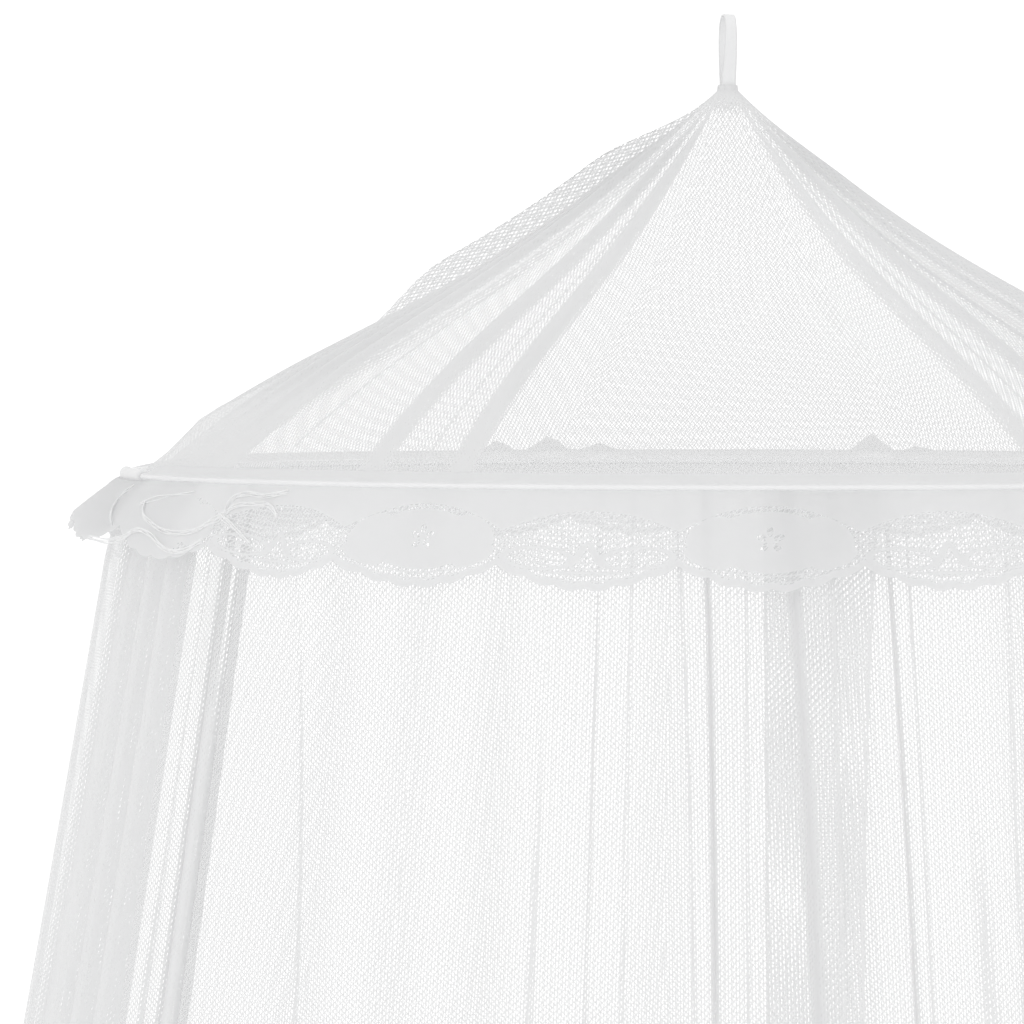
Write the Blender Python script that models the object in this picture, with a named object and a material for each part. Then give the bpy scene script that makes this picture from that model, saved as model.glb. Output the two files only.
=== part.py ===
"""White net bed canopy on a round hoop, hung from one ribbon loop.

The cloth is built in the shape in which it hangs: a gathered cone of net above
the hoop, a scalloped lace trim under it and one long lapped net drape. Metres,
+Z up. The origin is the bearing point of the ribbon loop, the front faces -Y,
and every angle is in degrees from the front, turning towards +X.
"""
import math
from collections import namedtuple

import bmesh
import bpy

# Cloth
NET_THICKNESS = 0.0011
LACE_THICKNESS = 0.0011
CASING_THICKNESS = 0.0010
RIBBON_THICKNESS = 0.0012
CLEARANCE = 0.0004

# Hoop: a thin tube bent to a ring, its ends joined in a sleeve at the left
HOOP_RADIUS = 0.2985
HOOP_Z = -0.2258
HOOP_STEP = 6.0
TUBE_RADIUS = 0.0018
TUBE_SIDES = 6
HOOP_END_GAP = 0.3
LEAST_STEP = 0.4
SMOOTH_BELOW = 50.0
SLEEVE_RADIUS = 0.0032
SLEEVE_BORE = 0.0022
SLEEVE_SIDES = 8
SLEEVE_START = 276.0
SLEEVE_END = 292.0

# Casing: a strip folded round the tube, standing up outside the roof's hem
CASING_GAP = 0.3
CASING_FOLD = 0.0027
CASING_FROM = 135.0
CASING_TO = 400.0
CASING_SECTION = 7
HEADING_RISE = 0.0024

# Ribbon loop: a teardrop eye across the front, its tails down in the neck
LOOP_WIDTH_TOP = 0.0052
LOOP_WIDTH_BASE = 0.0074
LOOP_BASE_Z = -0.0333
LOOP_TAIL_Z = -0.0398
LOOP_EYE = 0.0070
LOOP_EYE_ROUNDING = 0.8
LOOP_EYE_LOW = 0.65
LOOP_TAIL_SPREAD = 0.0012
LOOP_POINTS = 9
LOOP_TURN = 14.0

# Roof: a gathered neck, then a cone that sags between neck and hoop
NECK_TOP_Z = -0.0340
NECK_TOP_RADIUS = 0.0050
NECK_RADIUS = 0.0053
NECK_BASE_Z = -0.0368
ROOF_HEM_RADIUS = HOOP_RADIUS + 0.0003
ROOF_HEM_Z = HOOP_Z + SLEEVE_RADIUS + NET_THICKNESS + CLEARANCE / 2.0
ROOF_SAG = 0.0165
ROOF_ROWS = (0.014, 0.034, 0.065, 0.105, 0.155, 0.210, 0.260)
ROOF_FILL = 12.0
PLEAT_FULL = 0.055
PLEAT_FLATTENS = 0.7
PLEAT_LEAST = 0.08

# Lace trim: a scalloped strip whose ends lap at the left
LACE_TOP_Z = HOOP_Z - 0.0022
LACE_TOP_RADIUS = HOOP_RADIUS + 0.0036
LACE_BOTTOM_RADIUS = 0.3145
LACE_DROP_CUSP = 0.0320
LACE_DROP_LOBE = 0.0415
LACE_START = -93.0
LACE_END = 296.0
SCALLOP_PITCH = 14.3
SCALLOP_CENTRE = 3.4
SCALLOP_STEPS = 6
LACE_ROWS = (0.0, 0.16, 0.55, 1.0)
LACE_RUFFLE = 0.0032
RUFFLE_UNEVEN = 0.55
LACE_LAP = 0.0019
LACE_LAP_FULL = -59.0
LACE_LAP_END = -43.0
LACE_FLAP_ANGLE = -78.0
LACE_FLAP_HALF = 50.0
LACE_FLAP_REACH = 0.0070
LACE_FLAP_LIFT = 0.0150
LACE_UNDER_SHARE = 0.3

# Drape: one lapped panel, straight-sided from under the trim to the hem
DRAPE_TOP_Z = HOOP_Z - 0.0038
DRAPE_TOP_RADIUS = HOOP_RADIUS + 0.0010
TRIM_Z = -0.2668
TRIM_RADIUS = 0.3092
DRAPE_FLARE = 0.1736
HEM_Z = -2.42
DRAPE_ROWS = (-0.245, -0.300, -0.375, -0.480, -0.680, -0.980, -1.380, -1.880)
DRAPE_FILL = 12.0
FOLD_GROWTH = 1.6
FOLD_DRIFT = 14
LAP_GAP_TOP = 0.0021
LAP_GAP_TRIM = 0.0065
LAP_GAP_HEM = 0.0200
LAP_FULL = 15.0
LAP_END = 25.0

# Folds closer than this many degrees share a foot
SHARED_FOOT = 2.6

# Waves that make the trim's ruffles uneven: how many go round the hoop, the
# angle by which each is turned and its share
Wave = namedtuple("Wave", "count turn share")
RUFFLE_WAVES = (Wave(19.0, 0.0, 1.0), Wave(31.0, 40.0, 0.8))

# Where the points of one fold lie across its width, from foot to foot
FOLD_POINTS = {
    0: (0.0,),
    3: (-1.0, -0.33, 0.33, 1.0),
    4: (-1.0, -0.42, 0.0, 0.42, 1.0),
    5: (-1.0, -0.56, -0.19, 0.19, 0.56, 1.0),
}

# A pleat of the roof: its angle at the hoop, how far it turns by the neck, its
# half width in metres below the neck and in degrees at the neck, how high it
# stands, the radius by which it has flattened out, and its steps
RoofFold = namedtuple("RoofFold", "angle turn half half_top height reach steps")
ROOF_FOLDS = (
    RoofFold(-118.0, 0.0, 0.0070, 8.0, 0.0030, 0.29, 4),
    RoofFold(-101.0, 0.0, 0.0070, 7.0, 0.0030, 0.24, 4),
    RoofFold(-88.0, 0.0, 0.0070, 5.5, 0.0150, 0.19, 4),
    RoofFold(-78.0, 1.0, 0.0055, 4.5, 0.0045, 0.29, 4),
    RoofFold(-69.5, 1.0, 0.0055, 4.0, 0.0065, 0.29, 4),
    RoofFold(-61.5, 1.5, 0.0055, 4.0, 0.0065, 0.29, 4),
    RoofFold(-53.5, 2.0, 0.0060, 4.0, 0.0065, 0.29, 4),
    RoofFold(-34.0, 1.0, 0.0060, 4.2, 0.0060, 0.29, 4),
    RoofFold(-25.0, 5.5, 0.0065, 4.2, 0.0070, 0.29, 4),
    RoofFold(30.5, -3.0, 0.0060, 3.2, 0.0040, 0.29, 4),
    RoofFold(37.0, -1.5, 0.0045, 3.0, 0.0050, 0.29, 4),
    RoofFold(48.0, -1.0, 0.0050, 4.5, 0.0055, 0.29, 4),
    RoofFold(59.0, 0.0, 0.0055, 5.0, 0.0045, 0.29, 4),
    RoofFold(71.0, 0.0, 0.0060, 5.5, 0.0035, 0.27, 4),
    RoofFold(90.0, 0.0, 0.0070, 8.0, 0.0025, 0.24, 4),
    RoofFold(122.0, 0.0, 0.0070, 9.0, 0.0030, 0.29, 4),
    RoofFold(158.0, 0.0, 0.0070, 9.0, 0.0035, 0.29, 4),
    RoofFold(199.0, 0.0, 0.0070, 9.0, 0.0035, 0.29, 4),
)

# A fold of the drape: its angle at the hoop and how far it drifts on the way
# down, its half width in degrees at the top and at the hem, its depth below
# the trim and at the hem, and its steps
DrapeFold = namedtuple("DrapeFold", "angle drift half_top half_hem depth_trim depth_hem steps")
DRAPE_FOLDS = (
    DrapeFold(3.0, 0.4, 0.0, 0.0, 0.0, 0.0, 0),
    DrapeFold(5.3, 1.6, 1.0, 1.2, 0.0030, 0.022, 3),
    DrapeFold(13.2, 1.0, 1.1, 2.0, 0.0040, 0.045, 3),
    DrapeFold(18.6, 0.8, 1.8, 3.2, 0.0008, 0.060, 4),
    DrapeFold(32.0, 0.0, 4.5, 6.5, 0.0015, 0.075, 5),
    DrapeFold(45.5, 0.0, 1.7, 3.8, 0.0070, 0.055, 4),
    DrapeFold(55.0, 0.0, 2.2, 3.8, 0.0070, 0.060, 4),
    DrapeFold(63.0, 0.0, 2.2, 3.8, 0.0060, 0.060, 4),
    DrapeFold(77.0, 0.0, 4.5, 7.0, 0.0030, 0.075, 5),
    DrapeFold(95.0, 0.0, 4.5, 7.5, 0.0020, 0.080, 5),
    DrapeFold(113.0, 0.0, 3.5, 7.0, 0.0030, 0.070, 5),
    DrapeFold(130.0, 0.0, 4.5, 7.5, 0.0020, 0.080, 5),
    DrapeFold(149.0, 0.0, 4.5, 8.0, 0.0030, 0.075, 5),
    DrapeFold(168.0, 0.0, 3.5, 7.5, 0.0040, 0.080, 5),
    DrapeFold(186.0, 0.0, 4.5, 7.5, 0.0020, 0.070, 5),
    DrapeFold(204.0, 0.0, 3.5, 7.0, 0.0030, 0.080, 5),
    DrapeFold(223.0, 0.0, 4.5, 8.0, 0.0020, 0.075, 5),
    DrapeFold(242.0, 0.0, 3.5, 7.5, 0.0030, 0.080, 5),
    DrapeFold(260.0, 0.0, 4.5, 7.0, 0.0030, 0.070, 5),
    DrapeFold(277.0, 0.0, 3.5, 6.5, 0.0030, 0.065, 5),
    DrapeFold(294.2, 0.0, 1.8, 1.9, 0.0090, 0.045, 4),
    DrapeFold(298.0, 0.0, 1.8, 1.9, 0.0100, 0.050, 4),
    DrapeFold(301.8, 0.0, 1.8, 1.9, 0.0100, 0.050, 4),
    DrapeFold(305.6, 0.0, 1.8, 1.9, 0.0090, 0.045, 4),
    DrapeFold(313.6, 0.8, 1.7, 3.4, 0.0090, 0.055, 4),
    DrapeFold(324.4, 0.0, 1.6, 4.6, 0.0004, 0.060, 4),
    DrapeFold(335.0, 0.0, 3.0, 4.6, 0.0004, 0.060, 4),
    DrapeFold(345.9, 0.0, 1.4, 4.4, 0.0004, 0.060, 4),
    DrapeFold(353.0, 0.0, 1.2, 2.2, 0.0004, 0.035, 4),
    DrapeFold(358.2, 1.0, 1.0, 1.5, 0.0040, 0.030, 3),
    DrapeFold(365.3, 1.6, 1.0, 1.2, 0.0030, 0.022, 3),
    DrapeFold(372.0, -3.0, 0.0, 0.0, 0.0, 0.0, 0),
)

# A pucker of the casing's heading: its angle, its half width and its rise
Pucker = namedtuple("Pucker", "angle half rise")
PUCKERS = (
    Pucker(158.9, 1.6, 0.0026),
    Pucker(164.1, 2.4, 0.0095),
    Pucker(194.1, 2.0, 0.0040),
    Pucker(199.8, 2.6, 0.0078),
    Pucker(205.7, 2.2, 0.0054),
)

# A column of a folded sheet: it lies between two fold points, at a share of
# the way from the left one to the right one
Column = namedtuple("Column", "left left_point right right_point share")


# Helpers

def lerp(start, end, share):
    return start + (end - start) * share


def ease(share):
    share = min(1.0, max(0.0, share))
    return share * share * (3.0 - 2.0 * share)


def bell(offset):
    """Round hump: 1 in the middle, 0 from one unit away."""
    return 0.5 * (1.0 + math.cos(math.pi * min(1.0, abs(offset))))


def polar(radius, angle, z):
    turn = math.radians(angle)
    return (radius * math.sin(turn), -radius * math.cos(turn), z)


def material(name, color, roughness):
    made = bpy.data.materials.new(name)
    made.use_nodes = True
    shader = made.node_tree.nodes["Principled BSDF"]
    shader.inputs["Base Color"].default_value = (*color, 1.0)
    shader.inputs["Roughness"].default_value = roughness
    shader.inputs["Metallic"].default_value = 0.0
    return made


def add_object(name, mesh, finish):
    mesh.materials.append(finish)
    made = bpy.data.objects.new(name, mesh)
    bpy.context.scene.collection.objects.link(made)
    return made


def add_sheet(name, grid, thickness, finish, closed=False):
    """Sheet of cloth through a grid of points, a row of points for each level."""
    shape = bmesh.new()
    rows = [[shape.verts.new(point) for point in row] for row in grid]
    count = len(rows[0])
    for upper, lower in zip(rows, rows[1:]):
        for index in range(count if closed else count - 1):
            beside = (index + 1) % count
            shape.faces.new((upper[index], lower[index], lower[beside], upper[beside]))
    bmesh.ops.triangulate(shape, faces=shape.faces[:])
    mesh = bpy.data.meshes.new(name)
    shape.to_mesh(mesh)
    shape.free()
    made = add_object(name, mesh, finish)
    cloth = made.modifiers.new("Cloth", "SOLIDIFY")
    cloth.thickness = thickness
    cloth.offset = 0.0
    cloth.use_even_offset = True
    cloth.thickness_clamp = 1.0
    made.data.polygons.foreach_set("use_smooth", [True] * len(made.data.polygons))
    return made


def fold_columns(folds, fill):
    """Columns across a row of folds, evenly filled where the cloth is plain."""
    columns = []
    for index, fold in enumerate(folds):
        before = folds[index - 1] if index else None
        shared = before and fold.steps and foot_gap(before, fold) < SHARED_FOOT
        for point in FOLD_POINTS[fold.steps][1 if shared else 0:]:
            columns.append(Column(fold, point, fold, point, 0.0))
        if index + 1 < len(folds):
            after = folds[index + 1]
            parts = max(1, math.ceil(foot_gap(fold, after) / fill))
            for part in range(1, parts):
                columns.append(Column(fold, 1.0, after, -1.0, part / parts))
    return columns


def foot_gap(fold, after):
    """Degrees of plain cloth between two folds, at the top of their sheet."""
    return after.angle - fold.angle - fold.half_top - after.half_top


# Hoop, sleeve and casing share one ring of straight steps, so they stay apart

def ring_radius(angle):
    """Radius of the stepped ring at any angle."""
    from_middle = (angle % HOOP_STEP) - HOOP_STEP / 2.0
    flat = HOOP_RADIUS * math.cos(math.radians(HOOP_STEP / 2.0))
    return flat / math.cos(math.radians(from_middle))


def ring_angles(start, end, extra=()):
    """Angles of the ring's corners from start to end, and the extra ones between."""
    steps = {start, end, *extra}
    steps.update(n * HOOP_STEP for n in range(math.ceil(start / HOOP_STEP), int(end // HOOP_STEP) + 1))
    ordered = sorted(steps)
    kept = [ordered[0]]
    for angle in ordered[1:]:
        if angle - kept[-1] > LEAST_STEP or angle == end:
            kept.append(angle)
    return kept


def ring_section(shape, angle, radius, sides):
    """Circle of points across the ring."""
    centre = ring_radius(angle)
    points = []
    for side in range(sides):
        turn = 2.0 * math.pi * side / sides
        spot = polar(centre + radius * math.cos(turn), angle, HOOP_Z + radius * math.sin(turn))
        points.append(shape.verts.new(spot))
    return points


def bridge(shape, first, second, flip=False):
    """Band of faces between two circles of points."""
    count = len(first)
    for index in range(count):
        beside = (index + 1) % count
        corners = (first[index], first[beside], second[beside], second[index])
        shape.faces.new(corners[::-1] if flip else corners)


def finish_ring(shape, name, finish):
    bmesh.ops.recalc_face_normals(shape, faces=shape.faces[:])
    mesh = bpy.data.meshes.new(name)
    shape.to_mesh(mesh)
    shape.free()
    mesh.shade_smooth()
    mesh.set_sharp_from_angle(angle=math.radians(SMOOTH_BELOW))
    return add_object(name, mesh, finish)


def make_hoop_tube(finish):
    """Open ring whose two ends all but meet inside the sleeve."""
    joint = (SLEEVE_START + SLEEVE_END) / 2.0
    shape = bmesh.new()
    angles = ring_angles(joint + HOOP_END_GAP - 360.0, joint - HOOP_END_GAP)
    sections = [ring_section(shape, angle, TUBE_RADIUS, TUBE_SIDES) for angle in angles]
    for first, second in zip(sections, sections[1:]):
        bridge(shape, first, second)
    shape.faces.new(sections[0][::-1])
    shape.faces.new(sections[-1])
    return finish_ring(shape, "hoop_tube", finish)


def make_hoop_sleeve(finish):
    """Short pipe over both ends of the hoop."""
    shape = bmesh.new()
    angles = ring_angles(SLEEVE_START, SLEEVE_END)
    outside = [ring_section(shape, angle, SLEEVE_RADIUS, SLEEVE_SIDES) for angle in angles]
    inside = [ring_section(shape, angle, SLEEVE_BORE, SLEEVE_SIDES) for angle in angles]
    for index in range(len(angles) - 1):
        bridge(shape, outside[index], outside[index + 1])
        bridge(shape, inside[index], inside[index + 1], flip=True)
    bridge(shape, outside[0], inside[0], flip=True)
    bridge(shape, outside[-1], inside[-1])
    return finish_ring(shape, "hoop_sleeve", finish)


def heading_rise(angle):
    """Height of the casing's standing edge, with its puckers."""
    return HEADING_RISE + max(p.rise * bell((angle - p.angle) / p.half) for p in PUCKERS)


def make_hoop_casing(finish):
    """Strip folded under the tube, open at the top for the roof's hem."""
    start = SLEEVE_END + CASING_GAP - 360.0
    end = SLEEVE_START - CASING_GAP
    edges = [p.angle + p.half * side for p in PUCKERS for side in (-1.0, 0.0, 1.0)]
    angles = ring_angles(start, end, edges)
    grid = []
    for index in range(CASING_SECTION):
        turn = math.radians(lerp(CASING_FROM, CASING_TO, index / (CASING_SECTION - 1)))
        out = CASING_FOLD * math.cos(turn)
        up = CASING_FOLD * math.sin(turn)
        grid.append([polar(ring_radius(a) + out, a, HOOP_Z + up) for a in angles])
    out = CASING_FOLD * math.cos(math.radians(CASING_TO))
    top = CASING_FOLD * math.sin(math.radians(CASING_TO))
    grid.append([polar(ring_radius(a) + out, a, HOOP_Z + top + heading_rise(a)) for a in angles])
    return add_sheet("hoop_casing", grid, CASING_THICKNESS, finish)


# Ribbon loop

def loop_path():
    """Teardrop from the front tail, over the bearing point, to the back tail."""
    top = RIBBON_THICKNESS / 2.0
    height = top - LOOP_BASE_Z
    side = []
    for index in range(LOOP_POINTS):
        share = index / (LOOP_POINTS - 1)
        spread = LOOP_EYE * math.sin(math.pi * share) ** LOOP_EYE_ROUNDING * lerp(LOOP_EYE_LOW, 1.0, share)
        spread += LOOP_TAIL_SPREAD * (1.0 - share)
        rise = math.sin(math.pi / 2.0 * share)
        side.append((-spread, LOOP_BASE_Z + height * rise, rise))
    side[-1] = (0.0, top, 1.0)
    tail = (-LOOP_TAIL_SPREAD, LOOP_TAIL_Z, 0.0)
    front = [tail] + side
    back = [(-y, z, rise) for y, z, rise in reversed(front[:-1])]
    return front + back


def make_hang_loop(finish):
    turn = math.radians(LOOP_TURN)
    grid = []
    for y, z, rise in loop_path():
        half = lerp(LOOP_WIDTH_BASE, LOOP_WIDTH_TOP, rise) / 2.0
        row = []
        for x in (-half, 0.0, half):
            across = x * math.cos(turn) - y * math.sin(turn)
            row.append((across, x * math.sin(turn) + y * math.cos(turn), z))
        grid.append(row)
    return add_sheet("hang_loop", grid, RIBBON_THICKNESS, finish)


# Roof

def roof_levels():
    """Radius and height of each row before the pleats, sagging most a third of the way down."""
    levels = [(NECK_TOP_RADIUS, NECK_TOP_Z), (NECK_RADIUS, NECK_BASE_Z)]
    for radius in ROOF_ROWS + (ROOF_HEM_RADIUS,):
        share = (radius - NECK_RADIUS) / (ROOF_HEM_RADIUS - NECK_RADIUS)
        sag = ROOF_SAG * 27.0 / 4.0 * share * (1.0 - share) ** 2
        levels.append((radius, lerp(NECK_BASE_Z, ROOF_HEM_Z, share) - sag))
    return levels


def pleat_height(fold, radius):
    """A pleat rises out of the neck and lies flat again by its reach."""
    rising = ease((radius - NECK_RADIUS) / PLEAT_FULL)
    lying = ease((1.0 - radius / fold.reach) / (1.0 - PLEAT_FLATTENS))
    return fold.height * rising * max(lying, PLEAT_LEAST)


def make_roof(finish):
    folds = list(ROOF_FOLDS) + [ROOF_FOLDS[0]._replace(angle=ROOF_FOLDS[0].angle + 360.0, steps=0)]
    columns = fold_columns(folds, ROOF_FILL)[:-1]
    slope = math.atan2(NECK_BASE_Z - ROOF_HEM_Z, ROOF_HEM_RADIUS - NECK_RADIUS)
    grid = []
    for radius, z in roof_levels():
        inward = 1.0 - radius / ROOF_HEM_RADIUS

        def place(fold, point):
            half = min(fold.half_top, math.degrees(fold.half / radius))
            return fold.angle + fold.turn * inward + half * point

        row = []
        for column in columns:
            left = place(column.left, column.left_point)
            angle = lerp(left, place(column.right, column.right_point), column.share)
            stand = 0.0
            if not column.share:
                stand = pleat_height(column.left, radius) * bell(column.left_point)
            out = radius + stand * math.sin(slope)
            row.append(polar(out, angle, z + stand * math.cos(slope)))
        grid.append(row)
    return add_sheet("roof", grid, NET_THICKNESS, finish, closed=True)


# Lace trim

def lace_flap(angle):
    """Share by which the trim is turned out and up where its ends lap."""
    over = bell((angle - LACE_FLAP_ANGLE) / LACE_FLAP_HALF)
    under = bell((angle - 360.0 - LACE_FLAP_ANGLE) / LACE_FLAP_HALF)
    return max(over, LACE_UNDER_SHARE * under)


def lace_point(angle, share):
    """Point of the trim at a share of its width below the hoop."""
    lobe = abs(math.cos(math.pi * (angle - SCALLOP_CENTRE) / SCALLOP_PITCH))
    drop = lerp(LACE_DROP_CUSP, LACE_DROP_LOBE, lobe)
    wave = sum(w.share * math.sin(math.radians(angle * w.count + w.turn)) for w in RUFFLE_WAVES)
    ruffle = LACE_RUFFLE * share * (1.0 + RUFFLE_UNEVEN * wave)
    over = LACE_LAP * (1.0 - ease((angle - LACE_LAP_FULL) / (LACE_LAP_END - LACE_LAP_FULL)))
    flap = lace_flap(angle)
    radius = lerp(LACE_TOP_RADIUS, LACE_BOTTOM_RADIUS, share) + ruffle + over
    radius += LACE_FLAP_REACH * flap * ease(share)
    return polar(radius, angle, LACE_TOP_Z - drop * share + LACE_FLAP_LIFT * flap * share * share)


def make_lace_trim(finish):
    step = SCALLOP_PITCH / SCALLOP_STEPS
    count = round((LACE_END - LACE_START) / step)
    angles = [lerp(LACE_START, LACE_END, n / count) for n in range(count + 1)]
    grid = [[lace_point(angle, share) for angle in angles] for share in LACE_ROWS]
    return add_sheet("lace_trim", grid, LACE_THICKNESS, finish)


# Drape

def drape_radius(z):
    """Outer reach of the drape at a height."""
    if z > TRIM_Z:
        return lerp(TRIM_RADIUS, DRAPE_TOP_RADIUS, (z - TRIM_Z) / (DRAPE_TOP_Z - TRIM_Z))
    return TRIM_RADIUS + DRAPE_FLARE * (TRIM_Z - z)


def fold_depth(fold, z):
    """Depth of a fold: shallow in the seam, full below the trim, deepest at the hem."""
    if z > TRIM_Z:
        return fold.depth_trim * ease((DRAPE_TOP_Z - z) / (DRAPE_TOP_Z - TRIM_Z))
    share = (TRIM_Z - z) / (TRIM_Z - HEM_Z)
    return lerp(fold.depth_trim, fold.depth_hem, share ** FOLD_GROWTH)


def lap_gap(angle, z):
    """How far the under edge stands back where the front edges lap."""
    if z > TRIM_Z:
        gap = lerp(LAP_GAP_TRIM, LAP_GAP_TOP, (z - TRIM_Z) / (DRAPE_TOP_Z - TRIM_Z))
    else:
        gap = lerp(LAP_GAP_TRIM, LAP_GAP_HEM, (TRIM_Z - z) / (TRIM_Z - HEM_Z))
    return gap * (1.0 - ease((angle - LAP_FULL) / (LAP_END - LAP_FULL)))


def make_drape(finish):
    columns = fold_columns(DRAPE_FOLDS, DRAPE_FILL)
    levels = sorted((DRAPE_TOP_Z, TRIM_Z, HEM_Z) + DRAPE_ROWS, reverse=True)
    grid = []
    for z in levels:
        down = min(1.0, max(0.0, (DRAPE_TOP_Z - z) / (DRAPE_TOP_Z - HEM_Z)))
        drift = 1.0 - (1.0 - down) ** FOLD_DRIFT

        def place(fold, point):
            half = lerp(fold.half_top, fold.half_hem, down)
            return fold.angle + fold.drift * drift + half * point

        row = []
        for column in columns:
            left = place(column.left, column.left_point)
            angle = lerp(left, place(column.right, column.right_point), column.share)
            depth = 0.0
            if not column.share:
                depth = fold_depth(column.left, z) * bell(column.left_point)
            row.append(polar(drape_radius(z) - depth - lap_gap(angle, z), angle, z))
        grid.append(row)
    return add_sheet("drape", grid, NET_THICKNESS, finish)


def main():
    for leftover in list(bpy.data.objects):
        bpy.data.objects.remove(leftover, do_unlink=True)
    net = material("White net", (0.80, 0.80, 0.80), 0.85)
    lace = material("White lace", (0.78, 0.78, 0.78), 0.85)
    sheer = material("Sheer casing", (0.80, 0.80, 0.80), 0.80)
    ribbon = material("White ribbon", (0.84, 0.84, 0.83), 0.65)
    plastic = material("White plastic", (0.88, 0.88, 0.87), 0.35)
    make_hang_loop(ribbon)
    make_roof(net)
    make_hoop_casing(sheer)
    make_hoop_tube(plastic)
    make_hoop_sleeve(plastic)
    make_lace_trim(lace)
    make_drape(net)


main()
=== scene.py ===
# %% [markdown]
# # A net bed canopy on a hoop
# The real thing is almost nothing but air: a cone of white net gathered under a ribbon loop, a
# thin hoop in a sheer casing, a scalloped lace trim and a long net drape whose front edges lap.
# The CAD model carries the sizes and the coarse shape. This script dresses it: every cloth is
# made again as a fine sheet on the same folds, and its holes are drawn by its material.

# %% Load the CAD model
import math
from collections import namedtuple
from functools import partialmethod, reduce

import bpy
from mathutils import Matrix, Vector


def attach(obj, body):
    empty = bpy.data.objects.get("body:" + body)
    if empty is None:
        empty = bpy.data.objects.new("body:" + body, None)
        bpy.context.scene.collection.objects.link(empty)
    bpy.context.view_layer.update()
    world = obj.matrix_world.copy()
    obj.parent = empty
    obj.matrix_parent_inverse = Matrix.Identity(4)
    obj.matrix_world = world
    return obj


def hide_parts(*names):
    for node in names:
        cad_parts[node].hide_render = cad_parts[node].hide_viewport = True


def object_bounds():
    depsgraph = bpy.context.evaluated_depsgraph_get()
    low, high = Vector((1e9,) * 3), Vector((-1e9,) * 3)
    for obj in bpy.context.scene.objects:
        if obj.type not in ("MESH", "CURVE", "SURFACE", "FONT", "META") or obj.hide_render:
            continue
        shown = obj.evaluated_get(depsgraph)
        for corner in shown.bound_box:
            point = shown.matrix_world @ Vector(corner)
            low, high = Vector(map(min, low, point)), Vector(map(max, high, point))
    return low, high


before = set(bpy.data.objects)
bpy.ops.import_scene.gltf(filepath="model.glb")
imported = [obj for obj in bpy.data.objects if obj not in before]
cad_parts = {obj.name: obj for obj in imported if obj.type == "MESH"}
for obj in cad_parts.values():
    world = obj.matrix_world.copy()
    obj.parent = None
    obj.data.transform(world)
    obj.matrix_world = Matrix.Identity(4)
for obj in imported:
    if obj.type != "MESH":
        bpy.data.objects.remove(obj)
cad_low, cad_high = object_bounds()
print("CAD box", tuple(round(v, 3) for v in cad_low), tuple(round(v, 3) for v in cad_high))

# %% [markdown]
# ## Camera
# The picture was taken with a long lens from a little above the hoop, so the hoop is seen almost
# edge on. The loop stands to the right of the picture's middle, so the camera turns a little to
# the left of it. The lens length follows from how many pixels one radian covers.

# %% Camera
PICTURE = 1024
PIXELS_PER_RADIAN = 4003.0
CAMERA_PLACE = (0.0, -2.0, -0.1808)
LOOP_COLUMN = 727.0
CAMERA_LEVEL_ROW = 380.4
SENSOR = 36.0


def add_object(name, data):
    made = bpy.data.objects.new(name, data)
    bpy.context.scene.collection.objects.link(made)
    return made


camera_data = bpy.data.cameras.new("camera")
camera_data.sensor_width = SENSOR
camera_data.lens = PIXELS_PER_RADIAN / PICTURE * SENSOR
camera_data.clip_start = 0.05
camera = add_object("camera", camera_data)
aside = math.atan((PICTURE / 2 - LOOP_COLUMN) / PIXELS_PER_RADIAN)
tilt = -math.atan((PICTURE / 2 - CAMERA_LEVEL_ROW) / PIXELS_PER_RADIAN)
looking = Vector((math.sin(aside) * math.cos(tilt), math.cos(aside) * math.cos(tilt), math.sin(tilt)))
camera.location = CAMERA_PLACE
camera.rotation_euler = looking.to_track_quat("-Z", "Y").to_euler()
bpy.context.scene.camera = camera
print("lens", round(camera_data.lens, 1), "mm")

# %% [markdown]
# ## Light and floor
# White net on a white ground shows only by how far it falls short of pure white, so the light
# is as even as a light tent. The world gives pure white to the camera and a little less than
# that to the cloth, and two large lamps add a gentle fall from left to right. Real net also
# scatters light inwards from thread to thread, more than its shader does, so five faint lamps
# on the axis light the far cloth from inside. The colours are shown plainly, with no film
# curve, or the white would turn grey.

# %% Light
WORLD_LIGHT = 0.95
WORLD_SEEN = 1.2
SEE_THROUGH_LAYERS = 96
BOUNCES = 8
AIMED_AT = Vector((0.0, 0.0, -0.4))
Lamp = namedtuple("Lamp", "name kind place size watts")
LAMPS = (
    Lamp("key", "AREA", (-2.6, -3.0, 0.0), 2.4, 11.0),
    Lamp("fill", "AREA", (3.0, -2.2, -0.4), 3.0, 6.0),
    Lamp("glow_roof", "POINT", (0.0, 0.0, -0.17), 0.04, 0.015),
    Lamp("glow_hoop", "POINT", (0.0, 0.0, -0.30), 0.06, 0.20),
    Lamp("glow_upper", "POINT", (0.0, 0.0, -0.75), 0.10, 0.4),
    Lamp("glow_middle", "POINT", (0.0, 0.0, -1.25), 0.10, 0.4),
    Lamp("glow_lower", "POINT", (0.0, 0.0, -1.85), 0.10, 0.4),
)

scene = bpy.context.scene
scene.view_settings.view_transform = "Standard"
scene.cycles.transparent_max_bounces = SEE_THROUGH_LAYERS
scene.cycles.max_bounces = BOUNCES

world = bpy.data.worlds.new("light tent")
world.use_nodes = True
scene.world = world
tree = world.node_tree
sky = tree.nodes["Background"]
path = tree.nodes.new("ShaderNodeLightPath")
strength = tree.nodes.new("ShaderNodeMapRange")
strength.inputs["To Min"].default_value = WORLD_LIGHT
strength.inputs["To Max"].default_value = WORLD_SEEN
sky.inputs["Color"].default_value = (1.0, 1.0, 1.0, 1.0)
tree.links.new(path.outputs["Is Camera Ray"], strength.inputs["Value"])
tree.links.new(strength.outputs["Result"], sky.inputs["Strength"])

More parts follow.
